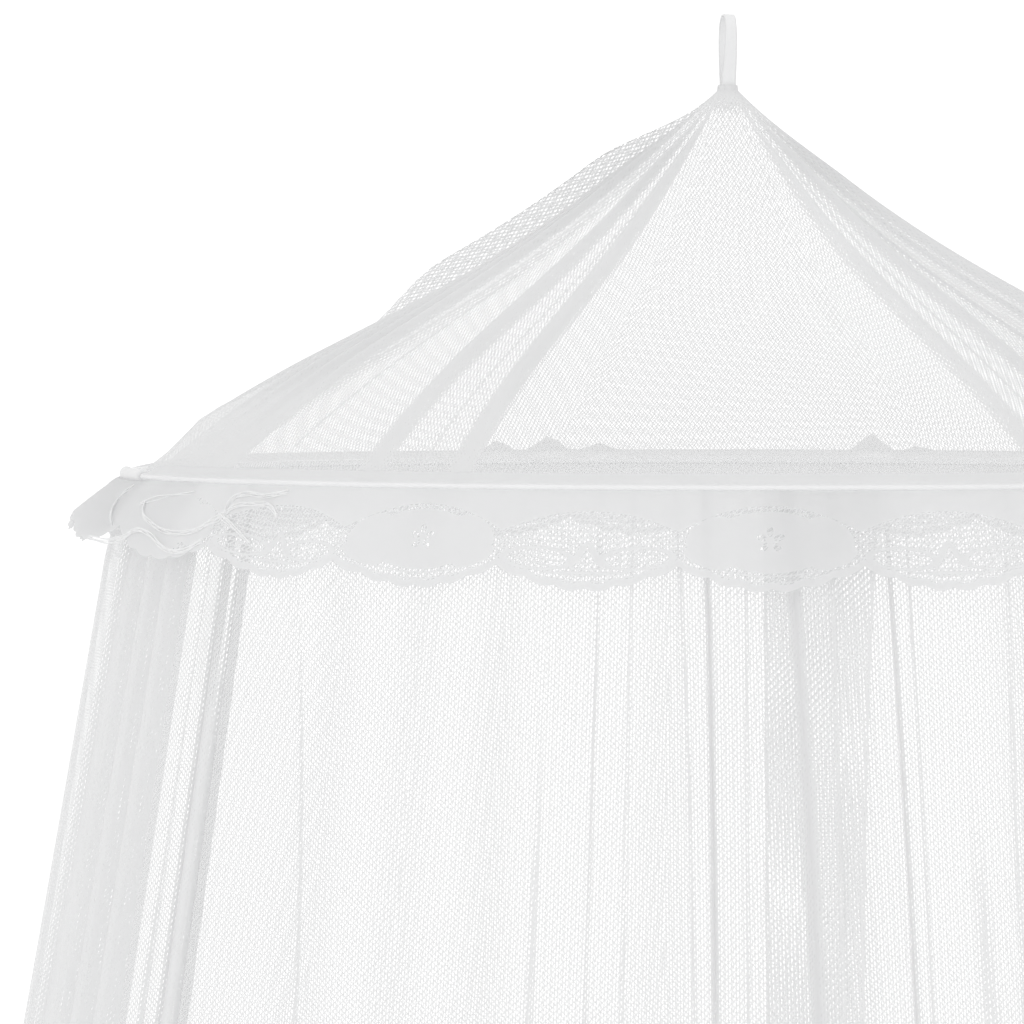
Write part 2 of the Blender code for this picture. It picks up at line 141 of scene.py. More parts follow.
for lamp in LAMPS:
    data = bpy.data.lights.new(lamp.name, lamp.kind)
    data.energy = lamp.watts
    made = add_object(lamp.name, data)
    made.location = lamp.place
    if lamp.kind == "AREA":
        data.size = lamp.size
        made.rotation_euler = (AIMED_AT - made.location).to_track_quat("-Z", "Y").to_euler()
    else:
        data.shadow_soft_size = lamp.size
        made.visible_camera = False
print("world", WORLD_LIGHT, "and", len(LAMPS), "lamps")

# %% Floor
FLOOR_RADIUS = 8.0
FLOOR_SIDES = 96
FLOOR_DROP = 0.012

bpy.ops.object.select_all(action="DESELECT")
floor_z = cad_low.z - FLOOR_DROP
bpy.ops.mesh.primitive_circle_add(vertices=FLOOR_SIDES, radius=FLOOR_RADIUS, fill_type="NGON",
                                  location=(0, 0, floor_z))
bpy.ops.object.transform_apply(location=True)
floor = bpy.context.object
floor.name = "floor"
print("floor at", round(floor_z, 3))

# %% [markdown]
# ## Shapes that all the cloths share
# The cloth hangs round one upright axis, so every place on it is an angle, a distance from the
# axis and a height. The angle counts from the front towards the right. A fold is a smooth hump
# across the cloth: `bell` gives its profile and `ease` lets it grow or fade without a kink.

# %% Small helpers
def lerp(start, end, share):
    return start + (end - start) * share


def ease(share):
    share = min(1.0, max(0.0, share))
    return share * share * (3.0 - 2.0 * share)


def bell(offset):
    return 0.5 * (1.0 + math.cos(math.pi * min(1.0, abs(offset))))


def polar(radius, angle, z):
    turn = math.radians(angle)
    return (radius * math.sin(turn), -radius * math.cos(turn), z)


def choose(piece):
    """Make this the one piece that the next operators work on."""
    bpy.ops.object.select_all(action="DESELECT")
    piece.select_set(True)
    bpy.context.view_layer.objects.active = piece


print("ease at a quarter of the way", ease(0.25), "and bell at half", round(bell(0.5), 3))


# %% [markdown]
# ## How a sheet is made
# A sheet is a grid of points, one row for each height. Two things are stored with it for its
# material. The UV map `cloth` holds how far each point lies across and down the cloth, in
# metres, so that the net's holes keep their size wherever the cloth hangs. Between two folds the
# grain runs straight down the middle of the plain stretch, as it does on net that is held in
# pleats. The attribute `crowd` says how far further layers close the holes, as in a tight pleat.

# %% Sheet maker
# How far the net's pattern is shifted for each column, so that no two plain stretches match
PATTERN_SHIFT = 0.0137


def row_lengths(row, closed):
    """How far along the row each point lies."""
    lengths = [0.0]
    for first, second in zip(row, row[1:] + row[:1] if closed else row[1:]):
        lengths.append(lengths[-1] + math.dist(first, second))
    return lengths


def hang_sheet(name, grid, crowd, middles, closed=False):
    """Sheet through a grid; middles gives the column that the grain follows beside each column."""
    count = len(grid[0])
    along = [row_lengths(row, closed) for row in grid]
    down = [[0.0] * count]
    for upper, lower in zip(grid, grid[1:]):
        down.append([d + math.dist(a, b) for d, a, b in zip(down[-1], upper, lower)])
    faces, cloth = [], []
    for row in range(len(grid) - 1):
        for column in range(count if closed else count - 1):
            middle = middles[column]
            beside = (column + 1) % count
            for r, c, place in ((row, column, column), (row + 1, column, column),
                                (row + 1, beside, column + 1), (row, beside, column + 1)):
                from_middle = along[r][place] - along[r][middle]
                cloth.extend((from_middle + middle * PATTERN_SHIFT, down[r][middle]))
            faces.append((row * count + column, (row + 1) * count + column,
                          (row + 1) * count + beside, row * count + beside))
    mesh = bpy.data.meshes.new(name)
    mesh.from_pydata([point for row in grid for point in row], [], faces)
    mesh.uv_layers.new(name="cloth").data.foreach_set("uv", cloth)
    closed_by = mesh.attributes.new("crowd", "FLOAT", "POINT")
    closed_by.data.foreach_set("value", [c for row in crowd for c in row])
    mesh.shade_smooth()
    print(name, len(faces), "faces")
    return add_object(name, mesh)


def middle_columns(marks):
    """For each column, the middle of the plain stretch that it lies in; marks are the folds' crests."""
    middles = []
    bounds = [0, *marks]
    for left, right in zip(bounds, bounds[1:]):
        middles.extend([(left + right) // 2] * (right - left))
    return middles


# %% [markdown]
# ## Drape
# On the real canopy this is one wide panel of net, sewn into the seam under the casing, plain at
# the front left and bunched at the left, where the net was pushed together on the hoop. Its two
# edges lap at the front. A cloth simulation would lose those bunches, so the folds are listed in
# a table: the deep ones are the CAD's own, and the thin creases between are new.

# %% Drape sizes
HOOP_RADIUS = 0.2985
HOOP_Z = -0.2264
DRAPE_TOP_Z = HOOP_Z - 0.0016
DRAPE_TOP_RADIUS = HOOP_RADIUS + 0.0010
TRIM_Z = -0.2668
TRIM_RADIUS = 0.3092
DRAPE_FLARE = 0.1736
HEM_Z = -2.42
FOLD_GROWTH = 1.6
FOLD_DRIFT = 14
FOLD_START = 0.08
LAP_GAP_TOP = 0.0021
LAP_GAP_TRIM = 0.0065
LAP_GAP_HEM = 0.0200
LAP_FULL = 15.0
LAP_END = 25.0
HEM_FOLD = 0.012

# A fold: its angle at the hoop and its drift on the way down, its half width in degrees at the
# top and at the hem, its depth under the trim and at the hem, how far it closes the holes and
# how sharply, how far the plain stretch after it is closed, and the heights at which the fold
# and that stretch start to be closed, if not from the top
Fold = namedtuple(
    "Fold", "angle drift half_top half_hem depth_trim depth_hem crowd sharp after starts after_starts",
    defaults=(1.0, 0.0, 0.0, 0.0))
DRAPE_FOLDS = (
    Fold(5.0, 2.0, 0.8, 1.2, 0.0030, 0.022, 0.25, 1.0, 0.04),
    Fold(8.4, 0.4, 0.45, 0.5, 0.0006, 0.002, 0.20, 0.5, 0.04),
    Fold(13.0, 1.3, 0.35, 0.6, 0.0020, 0.022, 0.90, 1.2),
    Fold(14.7, 0.6, 0.20, 0.3, 0.0006, 0.002, 0.50, 0.5),
    Fold(18.3, 1.4, 1.8, 3.2, 0.0004, 0.060, 0.55, 8.0, starts=-0.345),
    Fold(23.3, -2.0, 0.25, 0.3, 0.0006, 0.002, 0.35, 0.5),
    Fold(32.0, 0.0, 4.5, 6.5, 0.0015, 0.075, 0.12),
    Fold(45.5, 0.0, 1.7, 3.8, 0.0070, 0.055, 0.60, 0.7, 0.15),
    Fold(55.0, 0.0, 2.2, 3.8, 0.0070, 0.060, 0.60, 0.7, 0.15),
    Fold(63.0, 0.0, 2.2, 3.8, 0.0060, 0.060, 0.50, 0.7, 0.05),
    Fold(77.0, 0.0, 4.5, 7.0, 0.0030, 0.075, 0.20),
    Fold(95.0, 0.0, 4.5, 7.5, 0.0020, 0.080, 0.15),
    Fold(113.0, 0.0, 3.5, 7.0, 0.0030, 0.070, 0.15),
    Fold(130.0, 0.0, 4.5, 7.5, 0.0020, 0.080, 0.10),
    Fold(149.0, 0.0, 4.5, 8.0, 0.0030, 0.075, 0.10),
    Fold(168.0, 0.0, 3.5, 7.5, 0.0040, 0.080, 0.10),
    Fold(186.0, 0.0, 4.5, 7.5, 0.0020, 0.070, 0.10),
    Fold(204.0, 0.0, 3.5, 7.0, 0.0030, 0.080, 0.10),
    Fold(223.0, 0.0, 4.5, 8.0, 0.0020, 0.075, 0.10),
    Fold(242.0, 0.0, 3.5, 7.5, 0.0030, 0.080, 0.12),
    Fold(260.0, 0.0, 4.5, 7.0, 0.0030, 0.070, 0.12, 1.0, 0.05),
    Fold(277.0, 0.0, 3.5, 6.5, 0.0030, 0.065, 0.30, 1.0, 0.22),
    Fold(293.6, -4.0, 1.7, 1.9, 0.0090, 0.045, 0.88, 0.3, 0.80),
    Fold(297.8, -1.0, 1.8, 1.9, 0.0100, 0.050, 0.92, 0.3, 0.84),
    Fold(301.8, -0.5, 1.8, 1.9, 0.0100, 0.050, 0.88, 0.3, 0.84),
    Fold(305.9, -0.6, 1.7, 1.9, 0.0090, 0.045, 0.95, 0.25, 0.06),
    Fold(310.4, -0.4, 0.45, 0.9, 0.0020, 0.020, 0.95, 0.5, 0.02, starts=-0.385),
    Fold(312.8, -0.3, 0.40, 1.0, 0.0060, 0.030, 0.90, 0.5, 0.90, after_starts=-0.280),
    Fold(314.9, -0.3, 0.40, 1.2, 0.0070, 0.040, 0.90, 0.5, 0.06),
    Fold(320.4, 8.5, 0.25, 0.4, 0.0008, 0.003, 0.60, 0.5, starts=-0.28),
    Fold(335.0, 0.0, 3.0, 4.6, 0.0004, 0.060, 0.10),
    Fold(345.9, 0.0, 0.35, 3.4, 0.0004, 0.060, 0.60, 3.0, starts=-0.33),
    Fold(349.8, 0.3, 0.20, 0.4, 0.0008, 0.003, 0.40, 0.5),
    Fold(352.5, 0.2, 0.20, 0.9, 0.0004, 0.020, 0.30, 0.5),
    Fold(355.8, 2.6, 0.20, 0.3, 0.0006, 0.003, 0.55, 0.5),
    Fold(358.2, 1.4, 0.40, 0.7, 0.0030, 0.024, 0.95, 0.9, 0.06),
    Fold(361.5, 0.1, 0.20, 0.4, 0.0006, 0.003, 0.40, 0.5, 0.06),
    Fold(364.7, 2.5, 0.70, 0.6, 0.0030, 0.018, 0.98, 0.6, 0.05),
    Fold(368.3, 0.0, 0.30, 0.3, 0.0004, 0.002, 0.35, 0.5, 0.05),
)
UNDER_EDGE = Fold(3.0, -0.1, 0.0, 0.0, 0.0, 0.0, 0.95, 1.0, 0.08)
OVER_EDGE = Fold(372.4, -3.4, 0.0, 0.0, 0.0, 0.0, 0.95)
UNDER_HEM = UNDER_EDGE._replace(angle=3.3, crowd=0.0)
OVER_HEM = OVER_EDGE._replace(angle=372.0, crowd=0.0)
print(len(DRAPE_FOLDS), "folds and creases")

# %% Drape grid
FOLD_SAMPLES = 8
DRAPE_STEP = 1.3
TRIM_ROWS = 4
DRAPE_ROWS = 60
ROWS_CLOSER = 1.35
SWAY = 0.0016
SWAY_FREE = 0.5
SWAY_GROWTH = 2.0
# Each wave of the sway: its size, how often it goes round, its lean with the height, its start
Wave = namedtuple("Wave", "size count lean start")
SWAY_WAVES = (Wave(1.0, 3.0, 2.1, 0.0), Wave(0.6, 11.0, -3.7, 1.0), Wave(0.35, 23.0, 5.0, 2.0))

Column = namedtuple("Column", "left left_point right right_point share")


def fold_columns(folds, step, samples):
    """Columns across a row of folds, and which of them are crests."""
    columns, crests = [], []
    for index, fold in enumerate(folds):
        if fold.half_top:
            for sample in range(samples + 1):
                if sample == samples // 2:
                    crests.append(len(columns))
                columns.append(Column(fold, 2.0 * sample / samples - 1.0, fold, 0.0, 0.0))
        else:
            columns.append(Column(fold, 0.0, fold, 0.0, 0.0))
        if index + 1 < len(folds):
            after = folds[index + 1]
            wide = after.angle - fold.angle - fold.half_top - after.half_top
            parts = max(1, math.ceil(wide / step))
            for part in range(1, parts):
                left, right = (1.0 if fold.half_top else 0.0), (-1.0 if after.half_top else 0.0)
                columns.append(Column(fold, left, after, right, part / parts))
    return columns, crests


def fold_before(folds, column):
    """The fold whose plain stretch goes on up to this column."""
    index = folds.index(column.left)
    return column.left if column.left_point > 0.0 or column.share or not index else folds[index - 1]


def lay_row(columns, place):
    """Each column with its angle on this row, and how far up its fold's hump it lies."""
    for column in columns:
        left, right = place(column.left, column.left_point), place(column.right, column.right_point)
        yield column, lerp(left, right, column.share), 0.0 if column.share else bell(column.left_point)


def drape_radius(z):
    if z > TRIM_Z:
        return lerp(TRIM_RADIUS, DRAPE_TOP_RADIUS, (z - TRIM_Z) / (DRAPE_TOP_Z - TRIM_Z))
    return TRIM_RADIUS + DRAPE_FLARE * (TRIM_Z - z)


def fold_depth(fold, z):
    if z > TRIM_Z:
        return fold.depth_trim * ease((DRAPE_TOP_Z - z) / (DRAPE_TOP_Z - TRIM_Z))
    share = (TRIM_Z - z) / (TRIM_Z - HEM_Z)
    return lerp(fold.depth_trim, fold.depth_hem, share ** FOLD_GROWTH)


def lap_gap(angle, z):
    if z > TRIM_Z:
        gap = lerp(LAP_GAP_TRIM, LAP_GAP_TOP, (z - TRIM_Z) / (DRAPE_TOP_Z - TRIM_Z))
    else:
        gap = lerp(LAP_GAP_TRIM, LAP_GAP_HEM, (TRIM_Z - z) / (TRIM_Z - HEM_Z))
    return gap * (1.0 - ease((angle - LAP_FULL) / (LAP_END - LAP_FULL)))


def sway(angle, z):
    """Slow unevenness of the hanging net; it is the same after a full turn, so the lap stays shut."""
    turn = math.radians(angle)
    waves = sum(w.size * math.sin(w.count * turn + w.lean * z + w.start) for w in SWAY_WAVES)
    return SWAY * ease((TRIM_Z - z) / SWAY_FREE) * waves * (1.0 + SWAY_GROWTH * (TRIM_Z - z))


def make_drape():
    folds = (UNDER_EDGE, UNDER_HEM, *DRAPE_FOLDS, OVER_HEM, OVER_EDGE)
    columns, crests = fold_columns(folds, DRAPE_STEP, FOLD_SAMPLES)
    levels = [lerp(DRAPE_TOP_Z, TRIM_Z, n / TRIM_ROWS) for n in range(TRIM_ROWS)]
    levels += [lerp(TRIM_Z, HEM_Z, (n / DRAPE_ROWS) ** ROWS_CLOSER) for n in range(DRAPE_ROWS)]
    levels += [HEM_Z + HEM_FOLD, HEM_Z]
    grid, crowd = [], []
    for z in levels:
        down = (DRAPE_TOP_Z - z) / (DRAPE_TOP_Z - HEM_Z)
        drift = 1.0 - (1.0 - down) ** FOLD_DRIFT

        def place(fold, point):
            return fold.angle + fold.drift * drift + lerp(fold.half_top, fold.half_hem, down) * point

        def begun(height):
            return ease((height - z) / FOLD_START) if height else 1.0

        row, closing = [], []
        for column, angle, profile in lay_row(columns, place):
            fold, before = column.left, fold_before(folds, column)
            radius = drape_radius(z) - fold_depth(fold, z) * profile - lap_gap(angle, z) + sway(angle, z)
            row.append(polar(radius, angle, z))
            plain = before.after * begun(before.after_starts)
            closing.append(max(plain, fold.crowd * begun(fold.starts) * profile ** fold.sharp))
        grid.append(row)
        crowd.append(closing)
    return hang_sheet("drape_net", grid, crowd, middle_columns([*crests, len(columns)]))


drape = make_drape()

# %% [markdown]
# ## Roof
# The roof is one strip of net, drawn up to a neck on its top edge. The spare width lies in
# pleats that start in the neck and open towards the hoop. Left of the middle several pleats
# lie on each other and look almost solid, and one pleat on the right is as flat as a tape.

# %% Roof sizes
NECK_TOP_Z = -0.0340
NECK_TOP_RADIUS = 0.0050
NECK_RADIUS = 0.0053
NECK_BASE_Z = -0.0368
ROOF_HEM_RADIUS = HOOP_RADIUS + 0.0003
ROOF_HEM_Z = HOOP_Z + 0.0051
ROOF_SAG = 0.0165
# share * (1 - share) ** 2 is 4 / 27 at the most
SAG_SCALE = 27.0 / 4.0
PLEAT_FULL = 0.055
PLEAT_FLATTENS = 0.7
PLEAT_LEAST = 0.08
ROOF_ROWS = 34
ROOF_STEP = 2.0
NECK_CROWD = 0.012
# Beside the bare sleeve the hem has slipped inwards, off the hoop
BARE_ANGLE = -92.0
BARE_HALF = 40.0
BARE_PULL = 0.0130
BARE_DROP = 0.0040
BARE_FROM = 0.14

# A pleat: its angle at the hoop and its turn on the way to the neck, its half width in metres and
# the most degrees it may span, its height, how far from the axis it reaches, how far it closes
# the holes and how sharply, and how far the plain stretch after it is closed
Pleat = namedtuple("Pleat", "angle turn half half_top height reach crowd sharp after")
PLEATS = (
    Pleat(-118.0, 0.0, 0.0070, 8.0, 0.0030, 0.29, 0.25, 0.5, 0.10),
    Pleat(-101.0, 0.0, 0.0060, 5.0, 0.0030, 0.24, 0.15, 0.5, 0.05),
    Pleat(-88.0, -2.0, 0.0070, 2.8, 0.0150, 0.19, 0.08, 0.5, 0.08),
    Pleat(-76.0, -8.5, 0.0030, 1.4, 0.0030, 0.29, 0.70, 0.4, 0.35),
    Pleat(-64.5, -16.5, 0.0035, 1.7, 0.0040, 0.29, 0.90, 0.3, 0.75),
    Pleat(-59.5, -17.0, 0.0040, 1.8, 0.0050, 0.29, 0.88, 0.3, 0.85),
    Pleat(-54.5, -17.5, 0.0045, 1.8, 0.0050, 0.29, 0.98, 0.3, 0.98),
    Pleat(-49.5, -18.5, 0.0050, 1.8, 0.0050, 0.29, 1.00, 0.25, 0.06),
    Pleat(-43.0, -14.0, 0.0012, 0.8, 0.0006, 0.29, 0.60, 0.5, 0.04),
    Pleat(-31.6, -11.5, 0.0080, 3.0, 0.0050, 0.29, 0.97, 0.25, 0.04),
    Pleat(-26.7, -9.0, 0.0010, 0.8, 0.0004, 0.29, 0.50, 0.5, 0.05),
    Pleat(-22.8, -8.0, 0.0070, 3.4, 0.0050, 0.29, 1.05, 0.25, 0.0),
    Pleat(28.0, 4.0, 0.0080, 4.0, 0.0040, 0.29, 0.82, 0.4, 0.06),
    Pleat(31.0, 9.0, 0.0012, 0.8, 0.0006, 0.29, 0.70, 0.5, 0.10),
    Pleat(35.0, 11.0, 0.0048, 3.0, 0.0050, 0.29, 1.00, 0.4, 0.25),
    Pleat(45.0, 5.0, 0.0016, 1.2, 0.0020, 0.29, 0.80, 0.5, 0.25),
    Pleat(55.5, 2.0, 0.0020, 1.4, 0.0030, 0.29, 0.80, 0.5, 0.28),
    Pleat(63.0, 5.0, 0.0040, 2.0, 0.0045, 0.29, 0.90, 0.5, 0.30),
    Pleat(74.0, 2.0, 0.0045, 2.6, 0.0035, 0.27, 0.75, 0.5, 0.30),
    Pleat(90.0, 0.0, 0.0070, 6.0, 0.0025, 0.24, 0.35, 0.5, 0.20),
    Pleat(122.0, 0.0, 0.0070, 9.0, 0.0030, 0.29, 0.10, 1.0, 0.0),
    Pleat(158.0, 0.0, 0.0070, 9.0, 0.0035, 0.29, 0.0, 1.0, 0.0),
    Pleat(199.0, 0.0, 0.0070, 9.0, 0.0035, 0.29, 0.0, 1.0, 0.0),
)
print(len(PLEATS), "pleats and creases")

# %% Roof grid
def roof_levels():
    levels = [(NECK_TOP_RADIUS, NECK_TOP_Z)]
    for row in range(ROOF_ROWS + 1):
        share = (row / ROOF_ROWS) ** ROWS_CLOSER
        sag = ROOF_SAG * SAG_SCALE * share * (1.0 - share) ** 2
        radius = lerp(NECK_RADIUS, ROOF_HEM_RADIUS, share)
        levels.append((radius, lerp(NECK_BASE_Z, ROOF_HEM_Z, share) - sag))
    return levels


def pleat_height(pleat, radius):
    rising = ease((radius - NECK_RADIUS) / PLEAT_FULL)
    lying = ease((1.0 - radius / pleat.reach) / (1.0 - PLEAT_FLATTENS))
    return pleat.height * rising * max(lying, PLEAT_LEAST)


def make_roof():
    pleats = (*PLEATS, PLEATS[0]._replace(angle=PLEATS[0].angle + 360.0))
    columns, crests = fold_columns(pleats, ROOF_STEP, FOLD_SAMPLES)
    first, last = crests[0], crests[-1]
    columns = columns[first:last]
    crests = [crest - first for crest in crests[1:]]
    slope = math.atan2(NECK_BASE_Z - ROOF_HEM_Z, ROOF_HEM_RADIUS - NECK_RADIUS)
    grid, crowd = [], []
    for radius, z in roof_levels():
        inward = 1.0 - radius / ROOF_HEM_RADIUS
        neck = 1.0 - ease((radius - NECK_RADIUS) / NECK_CROWD)

        def place(pleat, point):
            half = min(pleat.half_top, math.degrees(pleat.half / radius))
            return pleat.angle + pleat.turn * inward + half * point

        row, closing = [], []
        for column, angle, profile in lay_row(columns, place):
            pleat = column.left
            stand = pleat_height(pleat, radius) * profile
            slack = bell((angle - BARE_ANGLE) / BARE_HALF) * ease((BARE_FROM - inward) / BARE_FROM)
            row.append(polar(radius + stand * math.sin(slope) - BARE_PULL * slack, angle,
                             z + stand * math.cos(slope) - BARE_DROP * slack))
            closed = max(fold_before(pleats, column).after, pleat.crowd * profile ** pleat.sharp)
            closing.append(lerp(closed, 1.0, neck))
        grid.append(row)
        crowd.append(closing)
    return hang_sheet("roof_net", grid, crowd, middle_columns(crests), closed=True)


roof = make_roof()

# %% [markdown]
# ## Casing
# A narrow, sheer strip is folded round the hoop, and its edge stands up as a low heading that is
# sewn to the roof's hem. `crowd` is 0 where the strip is thin and 1 where it is shut. Where it is
# thin the tube shows through its single layer, and the strip is painted whiter there: a painted
# highlight over the tube's front and painted light on its shaded inner side. At the back the
# heading puckers, which shows above the hoop's far side.

# %% Casing
CASING_START = -67.7
CASING_END = 275.7
CASING_FOLD = 0.0020
CASING_FROM = 135.0
CASING_TO = 394.0
CASING_SECTION = 24
CASING_STEP = 1.2
# Where the strip is thin and painted whiter: the middle and half width of its stretches before
# and behind the tube, a painted highlight before it and painted light on the shaded side behind it
CASING_THIN_PAINTED_LIGHT = ((335.0, 66.0), (188.0, 62.0))
CASING_THIN_PAINTED_LIGHT_FADE = 14.0
HEADING_RISE = 0.0050
HEADING_TAPER = 7.0
HEADING_SLACK = 36.0
GRAIN_COLUMNS = 12

Pucker = namedtuple("Pucker", "angle half rise")
PUCKERS = (
    Pucker(158.9, 1.6, 0.0026),
    Pucker(164.1, 2.4, 0.0095),
    Pucker(194.1, 2.0, 0.0040),
    Pucker(199.8, 2.6, 0.0078),
    Pucker(205.7, 2.2, 0.0054),
)


def make_casing():
    count = round((CASING_END - CASING_START) / CASING_STEP)
    angles = [lerp(CASING_START, CASING_END, n / count) for n in range(count + 1)]
    grid, crowd = [], []
    for index in range(CASING_SECTION + 1):
        turn = math.radians(lerp(CASING_FROM, CASING_TO, index / CASING_SECTION))
        out, up = CASING_FOLD * math.cos(turn), CASING_FOLD * math.sin(turn)
        grid.append([polar(HOOP_RADIUS + out, angle, HOOP_Z + up) for angle in angles])
        # Thin stretches let the tube show through and are painted whiter by the sheer: painted highlight
        # in front, painted light behind
        thin_painted_light = max(ease((half - abs(math.degrees(turn) - middle)) / CASING_THIN_PAINTED_LIGHT_FADE)
                    for middle, half in CASING_THIN_PAINTED_LIGHT)
        crowd.append([1.0 - thin_painted_light] * len(angles))
    for part in (0.5, 1.0):
        row = []
        for angle in angles:
            rise = HEADING_RISE + max(p.rise * bell((angle - p.angle) / p.half) for p in PUCKERS)
            rise *= ease((angle - CASING_START) / HEADING_TAPER)
            rise *= ease((CASING_END - angle) / HEADING_SLACK)
            row.append(polar(HOOP_RADIUS + out, angle, HOOP_Z + up + rise * part))
        grid.append(row)
        crowd.append([1.0] * len(angles))
    middles = [index // GRAIN_COLUMNS * GRAIN_COLUMNS for index in range(count + 1)]
    return hang_sheet("casing_net", grid, crowd, middles)


casing = make_casing()

# %% [markdown]
# ## Hoop and sleeve
# The hoop is a white plastic tube bent to a ring, and its ends meet in a short sleeve that the
# casing leaves bare. A circle spun round the axis gives each of them. The sleeve's ends are
# inset and pushed in, so that it reads as a pipe with a wall round the tube.

# %% Hoop and sleeve
TUBE_RADIUS = 0.0017
SLEEVE_RADIUS = 0.0032
SLEEVE_BORE = 0.0018
SLEEVE_START = 276.0
SLEEVE_END = 292.0
SLEEVE_ROUNDING = 0.0004
SLEEVE_BULGE = 0.0003
SLEEVE_BORE_DEPTH = 0.0015
SLEEVE_SIDES, SLEEVE_STEPS = 20, 16
HOOP_SIDES, HOOP_STEPS = 12, 240
HOOP_END_GAP = 0.3
SHARP_EDGE = 50.0


def spin_ring(name, radius, start, end, sides, steps):
    """Rod of a round section, bent round the canopy's axis."""
    bpy.ops.object.select_all(action="DESELECT")
    bpy.ops.mesh.primitive_circle_add(vertices=sides, radius=radius, fill_type="NGON",
                                      location=polar(HOOP_RADIUS, start, HOOP_Z),
                                      rotation=(math.radians(90.0), 0.0, math.radians(start + 90.0)))
    bpy.ops.object.transform_apply(location=True, rotation=True)
    bpy.ops.object.mode_set(mode="EDIT")
    bpy.ops.mesh.select_all(action="SELECT")
    bpy.ops.mesh.spin(steps=steps, angle=math.radians(start - end), center=(0.0, 0.0, HOOP_Z),
                      axis=(0.0, 0.0, 1.0), dupli=False)
    bpy.ops.mesh.select_all(action="SELECT")
    bpy.ops.mesh.remove_doubles(threshold=1e-6)
    bpy.ops.mesh.normals_make_consistent(inside=False)
    bpy.ops.object.mode_set(mode="OBJECT")
    made = bpy.context.object
    made.name = made.data.name = name
    return made


def finish_smooth(made):
    choose(made)
    bpy.ops.object.shade_smooth_by_angle(angle=math.radians(SHARP_EDGE))
    print(made.name, len(made.data.polygons), "faces", [round(v, 4) for v in made.dimensions])


joint = (SLEEVE_START + SLEEVE_END) / 2.0
hoop = spin_ring("hoop_ring", TUBE_RADIUS, joint + HOOP_END_GAP - 360.0, joint - HOOP_END_GAP,
                 HOOP_SIDES, HOOP_STEPS)
finish_smooth(hoop)

sleeve = spin_ring("hoop_joint", SLEEVE_RADIUS, SLEEVE_START, SLEEVE_END, SLEEVE_SIDES, SLEEVE_STEPS)
bpy.ops.object.mode_set(mode="EDIT")
bpy.ops.mesh.select_mode(type="FACE")
bpy.ops.mesh.select_all(action="DESELECT")
bpy.ops.object.mode_set(mode="OBJECT")
for face in sleeve.data.polygons:
    face.select = len(face.vertices) > 4
bpy.ops.object.mode_set(mode="EDIT")
wall = SLEEVE_RADIUS - SLEEVE_BORE - SLEEVE_ROUNDING
for thickness, depth in ((SLEEVE_ROUNDING, SLEEVE_BULGE), (wall, 0.0), (0.0, -SLEEVE_BORE_DEPTH)):
    bpy.ops.mesh.inset(thickness=thickness, depth=depth, use_individual=True)
bpy.ops.object.mode_set(mode="OBJECT")
finish_smooth(sleeve)

# %% [markdown]
# ## Lace trim
# The lace is a knitted strip with a firm heading and a scalloped edge. It follows the hoop
# closely at the front, ruffles a little, and turns up and outwards at the left where its two
# ends lap. A second UV map, `scallop`, counts the scallops along the strip and holds the
# distance from the heading, so that each motif sits in its own scallop.

# %% Lace sizes
LACE_TOP_Z = HOOP_Z - 0.0022
LACE_TOP_RADIUS = HOOP_RADIUS + 0.0028
LACE_BOTTOM_RADIUS = 0.3145
LACE_DROP_CUSP = 0.0320
LACE_DROP_LOBE = 0.0415
LACE_LEAN_RADIUS = HOOP_RADIUS + 0.0018
LACE_LEAN_Z = HOOP_Z - 0.0011
LACE_LEAN_FROM = 9.0
LACE_LEAN_FADE = 3.0
LACE_EDGE_RISE = 0.0003
LACE_START = -93.0
LACE_END = 296.0
SCALLOP_PITCH = 14.3
SCALLOP_CENTRE = 3.4
SCALLOP_STEPS = 24
LACE_ROWS = 14
LACE_RUFFLE = 0.0032
RUFFLE_UNEVEN = 0.55
LACE_LAP = 0.0019
LACE_LAP_FULL = -59.0
LACE_LAP_END = -43.0
LACE_FLAP_ANGLE = -78.0
LACE_FLAP_HALF = 50.0
LACE_FLAP_REACH = 0.0080
LACE_FLAP_LIFT = 0.0160
LACE_FLAP_BULGE = 0.55
LACE_UNDER_SHARE = 0.85
LACE_CROWD = 0.95
LACE_CROWD_END = -44.0
LACE_CROWD_FADE = 12.0
LACE_CROWD_UNDER = 262.0
Ruffle = namedtuple("Ruffle", "count turn share")
RUFFLES = (Ruffle(19.0, 0.0, 1.0), Ruffle(31.0, 40.0, 0.8))
print(round((LACE_END - LACE_START) / SCALLOP_PITCH, 1), "scallops from end to end")

# %% Lace
def lace_flap(angle):
    over = bell((angle - LACE_FLAP_ANGLE) / LACE_FLAP_HALF)
    under = bell((angle - 360.0 - LACE_FLAP_ANGLE) / LACE_FLAP_HALF)
    return max(over, LACE_UNDER_SHARE * under)


def lace_drop(angle):
    lobe = abs(math.cos(math.pi * (angle - SCALLOP_CENTRE) / SCALLOP_PITCH))
    return lerp(LACE_DROP_CUSP, LACE_DROP_LOBE, lobe)


def lace_point(angle, share):
    wave = sum(r.share * math.sin(math.radians(angle * r.count + r.turn)) for r in RUFFLES)
    ruffle = LACE_RUFFLE * share * (1.0 + RUFFLE_UNEVEN * wave)
    over = LACE_LAP * (1.0 - ease((angle - LACE_LAP_FULL) / (LACE_LAP_END - LACE_LAP_FULL)))
    flap = lace_flap(angle)
    radius = lerp(LACE_TOP_RADIUS, LACE_BOTTOM_RADIUS, share) + ruffle + over
    radius += LACE_FLAP_REACH * flap * share ** LACE_FLAP_BULGE
    drop = (lace_drop(angle) - LACE_FLAP_LIFT * flap) * share
    return polar(radius, angle, LACE_TOP_Z - drop)


